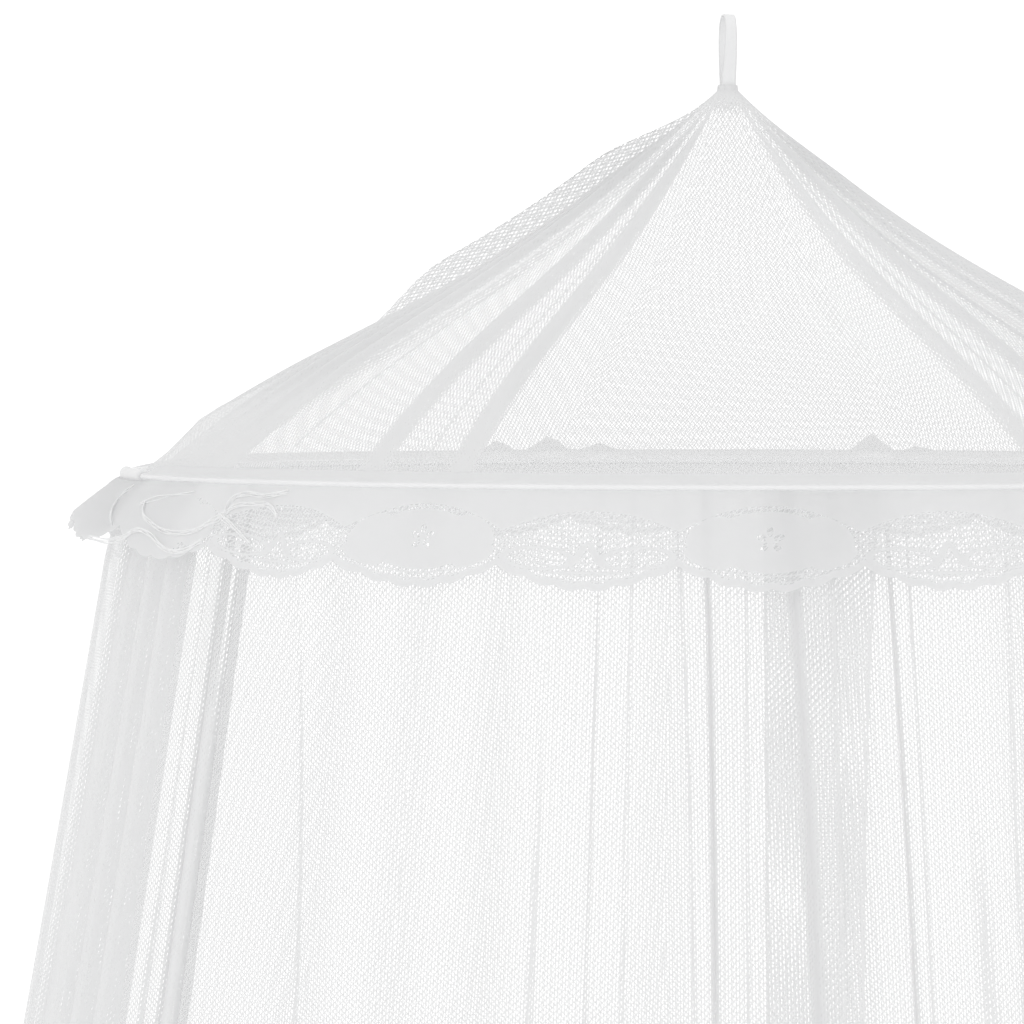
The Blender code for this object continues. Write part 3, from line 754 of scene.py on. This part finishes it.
def lace_lean(angle):
    """The edge leans on the casing, and stands clear of the bare sleeve."""
    away = min(abs(angle - joint), abs(angle + 360.0 - joint))
    lean = ease((away - LACE_LEAN_FROM) / LACE_LEAN_FADE)
    radius = lerp(LACE_TOP_RADIUS, LACE_LEAN_RADIUS, lean)
    return polar(radius, angle, lerp(LACE_TOP_Z + LACE_EDGE_RISE, LACE_LEAN_Z, lean))


def lace_crowd(angle):
    """How far the bunched ends of the strip lie on each other."""
    over = ease((LACE_CROWD_END - angle) / LACE_CROWD_FADE)
    under = ease((angle - LACE_CROWD_UNDER) / LACE_CROWD_FADE)
    return LACE_CROWD * max(over, under)


def make_lace():
    count = round((LACE_END - LACE_START) / SCALLOP_PITCH * SCALLOP_STEPS)
    angles = [lerp(LACE_START, LACE_END, n / count) for n in range(count + 1)]
    shares = [0.0] + [row / LACE_ROWS for row in range(LACE_ROWS + 1)]
    grid = [[lace_point(angle, share) for angle in angles] for share in shares]
    grid[0] = [lace_lean(angle) for angle in angles]
    crowd = [[lace_crowd(angle) for angle in angles] for share in shares]
    made = hang_sheet("lace", grid, crowd, [0] * len(angles))
    chart = made.data.uv_layers.new(name="scallop")
    for loop in made.data.loops:
        row, column = divmod(loop.vertex_index, len(angles))
        scallop = (angles[column] - SCALLOP_CENTRE) / SCALLOP_PITCH
        chart.data[loop.index].uv = (scallop, lace_drop(angles[column]) * shares[row])
    return made


lace = make_lace()

# %% [markdown]
# ## Ribbon loop
# A narrow woven ribbon is folded double and its tails are sewn into the neck. Its profile is
# laid out point by point, tail to eye and back, and Solidify gives it the ribbon's thickness.

# %% Ribbon loop
RIBBON_THICKNESS = 0.0012
# It is drawn a little thinner than its solid
RIBBON_DRAWN = 0.0010
LOOP_WIDTH_TOP = 0.0052
LOOP_WIDTH_BASE = 0.0074
LOOP_BASE_Z = -0.0333
LOOP_TAIL_Z = -0.0398
LOOP_EYE = 0.0070
LOOP_EYE_ROUNDING = 0.8
LOOP_EYE_LOW = 0.65
LOOP_TAIL_SPREAD = 0.0012
LOOP_TURN = 14.0
LOOP_POINTS = 28
RIBBON_COLUMNS = 6
RIBBON_CUP = 0.0004
RIBBON_CUP_FROM = 0.002


def loop_path():
    top = RIBBON_THICKNESS / 2.0
    height = top - LOOP_BASE_Z
    side = []
    for index in range(LOOP_POINTS):
        share = index / (LOOP_POINTS - 1)
        eye = math.sin(math.pi * share) ** LOOP_EYE_ROUNDING * lerp(LOOP_EYE_LOW, 1.0, share)
        spread = LOOP_EYE * eye + LOOP_TAIL_SPREAD * (1.0 - share)
        rise = math.sin(math.pi / 2.0 * share)
        side.append((-spread, LOOP_BASE_Z + height * rise, rise))
    side[-1] = (0.0, top, 1.0)
    front = [(-LOOP_TAIL_SPREAD, LOOP_TAIL_Z, 0.0)] + side
    return front + [(-y, z, rise) for y, z, rise in reversed(front[:-1])]


def make_ribbon():
    cosine, sine = math.cos(math.radians(LOOP_TURN)), math.sin(math.radians(LOOP_TURN))
    grid = []
    for y, z, rise in loop_path():
        half = lerp(LOOP_WIDTH_BASE, LOOP_WIDTH_TOP, rise) / 2.0
        row = []
        for column in range(RIBBON_COLUMNS + 1):
            across = 2.0 * column / RIBBON_COLUMNS - 1.0
            x = half * across
            cup = RIBBON_CUP * (1.0 - across * across) * min(1.0, abs(y) / RIBBON_CUP_FROM)
            out = y + math.copysign(cup, y)
            row.append((x * cosine - out * sine, x * sine + out * cosine, z))
        grid.append(row)
    crowd = [[1.0] * (RIBBON_COLUMNS + 1) for row in grid]
    made = hang_sheet("ribbon", grid, crowd, [0] * (RIBBON_COLUMNS + 1))
    thick = made.modifiers.new("ribbon", "SOLIDIFY")
    thick.thickness = RIBBON_DRAWN
    thick.offset = 0.0
    choose(made)
    bpy.ops.object.modifier_apply(modifier="ribbon")
    return made


ribbon = make_ribbon()

# %% [markdown]
# ## Loose threads
# At the left, where the lace ends are bunched, a skein of pale threads hangs off the gathering
# stitch. Each is a thin bevelled curve through a few places on the lace, all joined to one mesh.

# %% Loose threads
THREAD_RADIUS = 0.00028
# Where each skein runs: angle, share of the lace's width, and how far it stands off the lace
SKEINS = (
    ((-66.0, 0.98, 0.004), (-59.0, 1.00, 0.005), (-57.5, 0.74, 0.005), (-55.5, 0.70, 0.004),
     (-52.5, 0.84, 0.005), (-50.0, 0.92, 0.004), (-47.5, 0.84, 0.003)),
    ((-59.5, 0.36, 0.002), (-58.5, 0.50, 0.003), (-56.0, 0.57, 0.003), (-53.0, 0.63, 0.004),
     (-49.5, 0.64, 0.004), (-48.0, 0.57, 0.003), (-46.5, 0.48, 0.003), (-46.5, 0.22, 0.003),
     (-45.5, 0.11, 0.003), (-42.5, 0.10, 0.003), (-40.0, 0.04, 0.002)),
    ((-48.0, 0.55, 0.003), (-46.5, 0.45, 0.003), (-45.5, 0.28, 0.003), (-43.5, 0.21, 0.003),
     (-41.5, 0.22, 0.003), (-40.5, 0.32, 0.002)),
    ((-47.0, 0.46, 0.003), (-46.5, 0.49, 0.003), (-44.5, 0.57, 0.003), (-42.5, 0.68, 0.002)),
    ((-63.5, 0.80, 0.003), (-64.5, 0.68, 0.003), (-66.0, 0.44, 0.003), (-66.5, 0.22, 0.002),
     (-65.5, 0.08, 0.001)),
    ((-60.0, 0.42, 0.002), (-58.0, 0.24, 0.002), (-56.0, 0.15, 0.002), (-52.5, 0.10, 0.001)),
)
THREADS_PER_SKEIN = (5, 5, 4, 3, 3, 2)
THREAD_SPREAD = 0.0010
THREAD_SPREAD_OUT = 0.2
THREAD_NEAR = 0.3
# How the threads of a skein wander: a turn for each thread, one for each place, and the start
WANDER_OUT = (1.9, 1.0, 0.0)
WANDER_SIDE = (2.4, 1.3, 0.7)


def wander(turns, thread, step):
    each_thread, each_step, start = turns
    return THREAD_SPREAD * math.sin(thread * each_thread + step * each_step + start)


def make_threads():
    data = bpy.data.curves.new("loose_threads", "CURVE")
    data.dimensions = "3D"
    data.bevel_depth = THREAD_RADIUS
    data.bevel_resolution = 1
    data.use_fill_caps = True
    data.resolution_u = 6
    for skein, count in zip(SKEINS, THREADS_PER_SKEIN):
        for number in range(count):
            spline = data.splines.new("BEZIER")
            spline.bezier_points.add(len(skein) - 1)
            for step, (knot, (angle, share, off)) in enumerate(zip(spline.bezier_points, skein)):
                x, y, z = lace_point(angle, share)
                off = off * THREAD_NEAR + THREAD_SPREAD_OUT * wander(WANDER_OUT, number, step)
                out = 1.0 + off / math.hypot(x, y)
                knot.co = (x * out, y * out, z + wander(WANDER_SIDE, number, step))
                knot.handle_left_type = knot.handle_right_type = "AUTO"
    choose(add_object("loose_threads", data))
    bpy.ops.object.convert(target="MESH")
    made = bpy.context.object
    made.data.shade_smooth()
    print("loose_threads", len(made.data.polygons), "faces")
    return made


threads = make_threads()

# %% [markdown]
# ## Materials
# A net is mostly holes, so its material is mostly a mask: white where there is thread and
# see-through where there is none. Drawing the holes as geometry would take millions of faces.
# The masks are written as plain formulas. A `Value` stands for what a node works out, and
# arithmetic on it adds the Math nodes.

# %% Node helpers
def add_node(tree, kind, *values, **settings):
    """Node with these values going in, in the order of its inputs; gives its outputs."""
    made = tree.nodes.new("ShaderNode" + kind)
    for name, setting in settings.items():
        setattr(made, name, setting)
    for value, socket in zip(values, made.inputs):
        wire(tree, value, socket)
    return [Value(tree, socket) for socket in made.outputs]


def wire(tree, value, socket):
    if isinstance(value, Value):
        tree.links.new(value.socket, socket)
    else:
        socket.default_value = value


class Value:
    """What a socket of a node gives."""

    def __init__(self, tree, socket):
        self.tree = tree
        self.socket = socket

    def math(self, operation, *others):
        return add_node(self.tree, "Math", self, *others, operation=operation)[0]

    __add__ = partialmethod(math, "ADD")
    __sub__ = partialmethod(math, "SUBTRACT")
    __rsub__ = partialmethod(math, "MULTIPLY_ADD", -1.0)
    __mul__ = partialmethod(math, "MULTIPLY")
    __truediv__ = partialmethod(math, "DIVIDE")
    __abs__ = partialmethod(math, "ABSOLUTE")


def ramp(value, start, end, low=0.0, high=1.0):
    """Smooth step from low to high as the value goes from start to end."""
    return add_node(value.tree, "MapRange", value, start, end, low, high,
                    interpolation_type="SMOOTHSTEP")[0]


def laid_over(masks):
    """All these masks on top of each other."""
    return reduce(lambda first, second: first.math("MAXIMUM", second), masks)


def split(vector):
    return add_node(vector.tree, "SeparateXYZ", vector)[:2]


def pair(x, y):
    return add_node(x.tree, "CombineXYZ", x, y)[0]


def scaled(vector, size):
    return add_node(vector.tree, "VectorMath", vector, size, operation="MULTIPLY")[0]


def noise(vector, size, detail=1.0):
    """Noise with this many waves in a metre each way."""
    return add_node(vector.tree, "TexNoise", scaled(vector, size), 0.0, 1.0, detail)[0]


def make_group(name, formula, vectors, numbers, **outputs):
    """Node group that gives what the formula makes of the group's inputs, in their order."""
    group = bpy.data.node_groups.new(name, "ShaderNodeTree")
    for names, kind in ((vectors, "Vector"), (numbers, "Float")):
        for socket in names.split():
            group.interface.new_socket(name=socket, in_out="INPUT", socket_type="NodeSocket" + kind)
    for socket, kind in outputs.items():
        group.interface.new_socket(name=socket, in_out="OUTPUT", socket_type="NodeSocket" + kind)
    entry = group.nodes.new("NodeGroupInput")
    leave = group.nodes.new("NodeGroupOutput")
    given = [Value(group, socket) for socket in entry.outputs if socket.name]
    for value, socket in zip(formula(*given), leave.inputs):
        wire(group, value, socket)
    print("group", name, "of", len(group.nodes), "nodes")
    return group


def use_group(tree, group, **given):
    """Group node with these inputs; gives its outputs by name."""
    made = tree.nodes.new("ShaderNodeGroup")
    made.node_tree = group
    for name, value in given.items():
        wire(tree, value, made.inputs[name])
    return {socket.name: Value(tree, socket) for socket in made.outputs}


# %% [markdown]
# ### Net threads
# Mosquito net is knitted from upright pillars of stitches, joined by threads that slant from
# one pillar to the next. Each family is a set of parallel lines, drawn by how far a point lies
# from the nearest one. The pillars swing a little where a slanting thread pulls on them.
# Where net is pushed together its layers lie on each other, so `Crowd` makes the threads wider
# until they close the holes, more so along fine streaks, which leaves a few pinholes of light.

# %% Group: net threads
MM = 1000.0
NET_ACROSS = 3.2
NET_DOWN = 3.05
NET_SWING = 0.16
NET_SOFT = 0.05
CROWD_WIDTH = 1.35
CROWD_STREAK = 1.6
STREAKS = (620.0, 70.0, 1.0)


def thread_lines(across, down, apart, lean, width, swing=None):
    """Parallel lines this far apart, leaning from upright, over places in millimetres."""
    place = across * math.cos(lean) + down * math.sin(lean)
    if swing:
        place += swing
    off = abs((place / apart).math("FRACT") - 0.5) * apart
    half = width * 0.5
    return ramp(off, half + NET_SOFT, half - NET_SOFT)


def net_threads(cloth, grain, crowd, pillar, slant, link):
    uneven = (noise(cloth, STREAKS, 2.0) - 0.5) * CROWD_STREAK + 1.0
    wider = crowd * uneven * CROWD_WIDTH
    across, down = split(scaled(grain, (MM, MM, 1.0)))
    beat = across / NET_ACROSS + down / NET_DOWN
    swing = (beat * (2.0 * math.pi)).math("SINE") * NET_SWING
    lean = math.atan2(NET_ACROSS, NET_DOWN)
    apart = NET_ACROSS * math.cos(lean)
    return [laid_over([
        thread_lines(across, down, NET_ACROSS / 2.0, 0.0, pillar + wider, swing),
        thread_lines(across, down, apart, lean, slant + wider),
        thread_lines(across, down, apart, -lean, link + wider),
    ])]


NET = make_group("net threads", net_threads, "Cloth Grain", "Crowd Pillar Slant Link", Thread="Float")

# %% [markdown]
# ### Holes in staggered columns
# The lace's ground has rows of round holes, each row half a hole out of step with the next.
# The group repeats one cell across and down and measures how far a point lies from the
# nearest hole's middle. Two cells, one shifted by half, give the stagger. `Hole` is the hole's
# share of the pitch, and a cell is wider than high, so the distance across counts for more.

# %% Group: staggered holes
HOLE_ROUNDING = 3.0


def staggered_holes(cloth, across, down, hole, soft):
    x, y = split(cloth)
    across = x / across
    down = y / down
    distances = []
    for shift in (0.0, 0.5):
        column = (across + shift).math("FRACT") - 0.5
        level = (down + shift).math("FRACT") - 0.5
        distances.append(column * column * HOLE_ROUNDING + level * level)
    nearest = distances[0].math("MINIMUM", distances[1]).math("SQRT")
    rim = hole * 0.5
    return [ramp(nearest, rim - soft, rim + soft)]


HOLES = make_group("staggered holes", staggered_holes, "Cloth", "Across Down Hole Soft", Thread="Float")

# %% [markdown]
# ### Crowded layers
# Where the lace's ends are bunched its layers close most of the holes, with fine streaks along
# the fold and a few pinholes of light. A stretched noise is cut off higher or lower as `Crowd`
# asks.

# %% Group: crowded layers
SPECKS = (900.0, 500.0, 1.0)
SPECK_SHARE = 0.45
COVER_NONE = 0.74
COVER_ALL = 0.26
COVER_SOFT = 0.05


def crowded_layers(cloth, crowd):
    mixed = noise(cloth, SPECKS) * SPECK_SHARE + noise(cloth, STREAKS, 2.0) * (1.0 - SPECK_SHARE)
    edge = ramp(crowd, 0.0, 1.0, COVER_NONE, COVER_ALL)
    return [ramp(mixed, edge - COVER_SOFT, edge + COVER_SOFT)]


CROWDED = make_group("crowded layers", crowded_layers, "Cloth", "Crowd", Cover="Float")

# %% [markdown]
# ### Yarn tone
# No white yarn is quite even. The group varies the white a little from place to place and
# along each thread, and gives the height of the yarn for a Bump node.

# %% Group: yarn tone
YARN_PATCHES = (35.0, 12.0, 1.0)
YARN_TWIST = (2600.0, 1400.0, 1.0)
YARN_TINT = (0.998, 1.0, 1.003)


def yarn_tone(cloth, white, spread):
    patch = noise(cloth, YARN_PATCHES, 2.0)
    twist = noise(cloth, YARN_TWIST)
    shade = (patch * 0.5 + twist * 0.5 - 0.5) * spread + white
    tinted = add_node(cloth.tree, "CombineColor", *(shade * tint for tint in YARN_TINT))[0]
    return [tinted, twist]


YARN = make_group("yarn tone", yarn_tone, "Cloth", "White Spread", Color="Color", Height="Float")

# %% [markdown]
# ### Net and sheer
# The shader itself stays in each material. The threads' mask gives the alpha, and a share of
# the light that falls on the back of a thread comes through it, as it does in thin cloth. The
# casing is woven so closely that it needs no mask: it is thin over the tube and shut elsewhere,
# and where it is thin its white is painted lighter, a painted highlight over the tube's front and
# painted light on its shaded inner side.

# %% Net and sheer materials
NET_GLOW = 0.25
NET_SOLID = 0.98
NET_SPREAD = 0.06
NET_RELIEF = 0.00006
SHEER_GLOW = 0.5
SHEER_THIN = 0.40
SHEER_SHUT = 0.97
# Painted light: the thin stretches are painted this much whiter than the shut ones, a painted highlight
# over the tube's front and painted light on its shaded inner side
SHEER_WHITE_PAINTED_LIGHT = 0.98
SHEER_WHITE_SHUT = 0.82
SHEER_SPREAD = 0.04
SHEER_RELIEF = 0.00004
YARN_BUMP = 0.5


def new_material(name, roughness):
    made = bpy.data.materials.new(name)
    made.use_nodes = True
    shader = made.node_tree.nodes["Principled BSDF"]
    shader.inputs["Roughness"].default_value = roughness
    return made, made.node_tree, shader


def uv_map(tree, name):
    return add_node(tree, "UVMap", uv_map=name)[0]


def crowd_of(tree):
    made = tree.nodes.new("ShaderNodeAttribute")
    made.attribute_name = "crowd"
    return Value(tree, made.outputs["Fac"])


def raise_relief(tree, shader, height, depth, strength):
    bump = tree.nodes.new("ShaderNodeBump")
    bump.inputs["Distance"].default_value = depth
    bump.inputs["Strength"].default_value = strength
    wire(tree, height, bump.inputs["Height"])
    tree.links.new(bump.outputs[0], shader.inputs["Normal"])


def lay_yarn(tree, shader, cloth, white, spread, depth=None):
    """Colour of the yarn on this shader, and its fine relief if it has a depth; gives the colour."""
    yarn = use_group(tree, YARN, Cloth=cloth, White=white, Spread=spread)
    wire(tree, yarn["Color"], shader.inputs["Base Color"])
    if depth:
        raise_relief(tree, shader, yarn["Height"], depth, YARN_BUMP)
    return yarn["Color"]


def let_through(tree, shader, color, alpha, share):
    """Cut this shader to its alpha, and let a share of the light that falls behind it through."""
    wire(tree, alpha, shader.inputs["Alpha"])
    glow = tree.nodes.new("ShaderNodeBsdfTranslucent")
    wire(tree, color, glow.inputs["Color"])
    both = tree.nodes.new("ShaderNodeMixShader")
    wire(tree, alpha * share, both.inputs[0])
    tree.links.new(shader.outputs[0], both.inputs[1])
    tree.links.new(glow.outputs[0], both.inputs[2])
    tree.links.new(both.outputs[0], tree.nodes["Material Output"].inputs["Surface"])


def net_material(name, white, pillar, slant, link, turn=0.0):
    """Net with threads of these widths in millimetres, its grain turned by this many degrees."""
    made, tree, shader = new_material(name, roughness=0.9)
    cloth = uv_map(tree, "cloth")
    color = lay_yarn(tree, shader, cloth, white, NET_SPREAD, NET_RELIEF)
    grain = add_node(tree, "Mapping", cloth, (0.0, 0.0, 0.0), (0.0, 0.0, math.radians(turn)))[0]
    thread = use_group(tree, NET, Cloth=cloth, Grain=grain, Crowd=crowd_of(tree), Pillar=pillar,
                       Slant=slant, Link=link)["Thread"]
    let_through(tree, shader, color, thread * NET_SOLID, NET_GLOW)
    return made


def sheer_material():
    made, tree, shader = new_material("sheer_casing", roughness=0.85)
    shut = crowd_of(tree)
    # The white rises where the casing is thin: painted highlight and painted light, not the sheer's own
    # colour
    white = ramp(shut, 0.0, 1.0, SHEER_WHITE_PAINTED_LIGHT, SHEER_WHITE_SHUT)
    color = lay_yarn(tree, shader, uv_map(tree, "cloth"), white, SHEER_SPREAD, SHEER_RELIEF)
    let_through(tree, shader, color, ramp(shut, 0.0, 1.0, SHEER_THIN, SHEER_SHUT), SHEER_GLOW)
    return made


drape_finish = net_material("white_drape_net", white=0.84, pillar=0.38, slant=0.44, link=0.05)
roof_finish = net_material("white_roof_net", white=0.80, pillar=0.46, slant=0.42, link=0.08, turn=27.0)
casing_finish = sheer_material()
print("cloths", drape_finish.name, roof_finish.name, casing_finish.name)

# %% [markdown]
# ### Lace
# The strip repeats two motifs in turn: an open scallop with a pair of leaves, and a dense one
# with a small flower pierced in it. Both are charted from plain ellipses, in millimetres from
# the middle of the scallop and from the heading. One group draws an ellipse, and the tables
# place it.

# %% Group: petal
PETAL_SOFT = 0.15


def petal_masks(place, middle_x, middle_y, turn, long, wide, line):
    x, y = split(place)
    x -= middle_x
    y -= middle_y
    turn = turn.math("RADIANS")
    cosine, sine = turn.math("COSINE"), turn.math("SINE")
    along = (x * cosine + y * sine) / long
    beside = (y * cosine - x * sine) / wide
    inside = (1.0 - (along * along + beside * beside).math("SQRT")) * wide
    return [ramp(mask, -PETAL_SOFT, PETAL_SOFT) for mask in (line - abs(inside), inside)]


PETAL = make_group("petal", petal_masks, "Place", "X Y Turn Long Wide Line", Ring="Float", Fill="Float")

# %% Lace motifs
# A petal of a motif: its middle from the scallop's middle and from the heading, its turn, its
# half length and half width, its outline's half width and whether it is filled. A petal is
# drawn on both sides of the scallop's middle.
Petal = namedtuple("Petal", "x y turn long wide line filled", defaults=(True,))
OPEN_SCALLOP = (
    Petal(20.7, 27.6, -3.0, 14.6, 4.4, 0.55, False),
    Petal(3.4, 26.0, 58.0, 4.6, 1.0, 0.5),
    Petal(0.0, 33.6, 0.0, 9.0, 0.35, 0.35),
)
DENSE_SCALLOP = (
    Petal(0.0, 20.5, 0.0, 24.0, 12.4, 0.6),
    Petal(25.0, 17.0, 30.0, 9.5, 5.5, 0.6),
    Petal(26.0, 27.0, -20.0, 8.5, 3.4, 0.6),
)
FLOWER_HOLES = (
    Petal(0.0, 16.0, 90.0, 2.0, 1.3, 0.0),
    Petal(3.6, 18.6, 160.0, 2.2, 1.2, 0.0),
    Petal(2.6, 22.6, 50.0, 2.2, 1.2, 0.0),
)
print(len(OPEN_SCALLOP) + len(DENSE_SCALLOP) + len(FLOWER_HOLES), "petals charted")

# %% [markdown]
# The ground of the lace shows between the motifs. Above them an arch of close knitting runs
# from cusp to cusp, and a firm border with small bumps follows the scalloped edge.

# %% Lace material
SCALLOP_WIDTH = 75.0
HEADING = 5.6
HEADING_SOFT = 0.3
OPEN_ARCH = 8.0
OPEN_ARCH_CURVE = 0.006
DENSE_ARCH = 5.6
DENSE_ARCH_CURVE = 0.0077
ARCH_SOFT = 0.5
BORDER = 3.3
BORDER_SOFT = 0.2
BORDER_BUMP = 1.5
BORDER_BUMPS = 6.0
CUT_SOFT = 0.25
GROUND_ROW = 0.0043
GROUND_PITCH = 0.0025
GROUND_HOLE = 0.72
GROUND_SOFT = 0.05
LACE_SOLID = 0.97
LACE_WHITE = 0.88
LACE_SPREAD = 0.06
LACE_RELIEF = 0.00012


def motif_mask(tree, place, petals):
    """Thread of all the petals laid over each other."""
    masks = []
    for petal in petals:
        drawn = use_group(tree, PETAL, Place=place, X=petal.x, Y=petal.y, Turn=petal.turn,
                          Long=petal.long, Wide=petal.wide, Line=petal.line)
        if petal.line:
            masks.append(drawn["Ring"])
        if petal.filled:
            masks.append(drawn["Fill"])
    return laid_over(masks)


def lace_material():
    made, tree, shader = new_material("white_lace", roughness=0.85)
    cloth = uv_map(tree, "cloth")
    color = lay_yarn(tree, shader, cloth, LACE_WHITE, LACE_SPREAD, LACE_RELIEF)
    count, drop = split(uv_map(tree, "scallop"))
    number = (count + 0.5).math("FLOOR")
    along = count - number
    x = abs(along) * SCALLOP_WIDTH
    y = drop * MM
    place = pair(x, y)
    odd = number.math("PINGPONG", 1.0)

    curve = odd * (OPEN_ARCH_CURVE - DENSE_ARCH_CURVE) + DENSE_ARCH_CURVE
    arch = x * x * curve + (odd * (OPEN_ARCH - DENSE_ARCH) + DENSE_ARCH)
    above = ramp(y - arch, ARCH_SOFT, -ARCH_SOFT)
    open_one = motif_mask(tree, place, OPEN_SCALLOP)
    dense_one = motif_mask(tree, place, DENSE_SCALLOP) * (1.0 - motif_mask(tree, place, FLOWER_HOLES))
    motif = open_one * odd + dense_one * (1.0 - odd)

    lobe = (along * math.pi).math("COSINE")
    edge = lobe * ((LACE_DROP_LOBE - LACE_DROP_CUSP) * MM) + LACE_DROP_CUSP * MM
    bump = abs((count * (math.pi * BORDER_BUMPS)).math("SINE")) * BORDER_BUMP
    inside = edge - y - BORDER_BUMP + bump
    border = ramp(inside, BORDER + BORDER_SOFT, BORDER - BORDER_SOFT)
    cut = ramp(inside, 0.0, CUT_SOFT)

    across, down = split(cloth)
    ground = use_group(tree, HOLES, Cloth=pair(down, across), Across=GROUND_ROW, Down=GROUND_PITCH,
                       Hole=GROUND_HOLE, Soft=GROUND_SOFT)["Thread"]
    heading = ramp(y, HEADING + HEADING_SOFT, HEADING - HEADING_SOFT)
    cover = use_group(tree, CROWDED, Cloth=cloth, Crowd=crowd_of(tree))["Cover"]
    alpha = laid_over([ground, motif, above, heading, border, cover]) * cut * LACE_SOLID
    let_through(tree, shader, color, alpha, SHEER_GLOW)
    return made


lace_finish = lace_material()
print("lace", lace_finish.name)

# %% [markdown]
# ### Ribbon, plastic and thread
# The ribbon is a plain weave with fine ribs across it. The hoop is smooth white plastic with
# a little wear. The loose threads are twisted yarn, a shade paler than the net.

# %% Ribbon, plastic and thread materials
RIB_PITCH = 0.0006
WEFT_PITCH = 0.0005
WEAVE_RELIEF = 0.00002
RIBBON_SHEEN = 0.2
SCUFFS = (90.0, 90.0, 260.0)
SCUFFED_FROM, SCUFFED_TO = 0.35, 0.7
GLOSSY, WORN = 0.28, 0.5


def ribbon_material():
    made, tree, shader = new_material("white_ribbon", roughness=0.6)
    cloth = uv_map(tree, "cloth")
    lay_yarn(tree, shader, cloth, white=0.88, spread=0.06)
    across, down = split(cloth)
    ribs = (down * (2.0 * math.pi / RIB_PITCH)).math("SINE")
    weft = (across * (2.0 * math.pi / WEFT_PITCH)).math("SINE")
    raise_relief(tree, shader, ribs * weft, WEAVE_RELIEF, 1.0)
    shader.inputs["Sheen Weight"].default_value = RIBBON_SHEEN
    return made


def plain_material(name, roughness, white, spread, scuffed=False):
    """A white that is a little uneven over the object's own places, with wear if it is scuffed."""
    made, tree, shader = new_material(name, roughness)
    place = Value(tree, tree.nodes.new("ShaderNodeTexCoord").outputs["Object"])
    lay_yarn(tree, shader, place, white, spread)
    if scuffed:
        wear = ramp(noise(place, SCUFFS, 3.0), SCUFFED_FROM, SCUFFED_TO, GLOSSY, WORN)
        wire(tree, wear, shader.inputs["Roughness"])
    return made


# %% Lay the finishes on
def dress(piece, finish, slot):
    piece.data.materials.clear()
    piece.data.materials.append(finish)
    if slot:
        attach(piece, "root")


dress(drape, drape_finish, "net")
dress(roof, roof_finish, "net")
dress(casing, casing_finish, "casing")
dress(lace, lace_finish, "lace")
dress(threads, plain_material("loose_yarn", roughness=0.8, white=0.91, spread=0.04), "lace")
dress(ribbon, ribbon_material(), "ribbon")
for piece, name, white in ((hoop, "white_plastic", 0.95), (sleeve, "sleeve_plastic", 0.84)):
    plastic = plain_material(name, roughness=0.35, white=white, spread=0.05, scuffed=True)
    dress(piece, plastic, "hoop_plastic")
dress(floor, plain_material("pale_floor", roughness=0.9, white=0.86, spread=0.01), None)
print("finishes laid on")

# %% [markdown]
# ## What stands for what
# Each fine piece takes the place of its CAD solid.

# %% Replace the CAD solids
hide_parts("drape")
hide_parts("roof")
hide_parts("hoop_casing")
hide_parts("lace_trim")
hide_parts("hang_loop")
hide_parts("hoop_tube")
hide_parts("hoop_sleeve")

print("the cloths, the ribbon, the hoop and its sleeve stand for their solids")
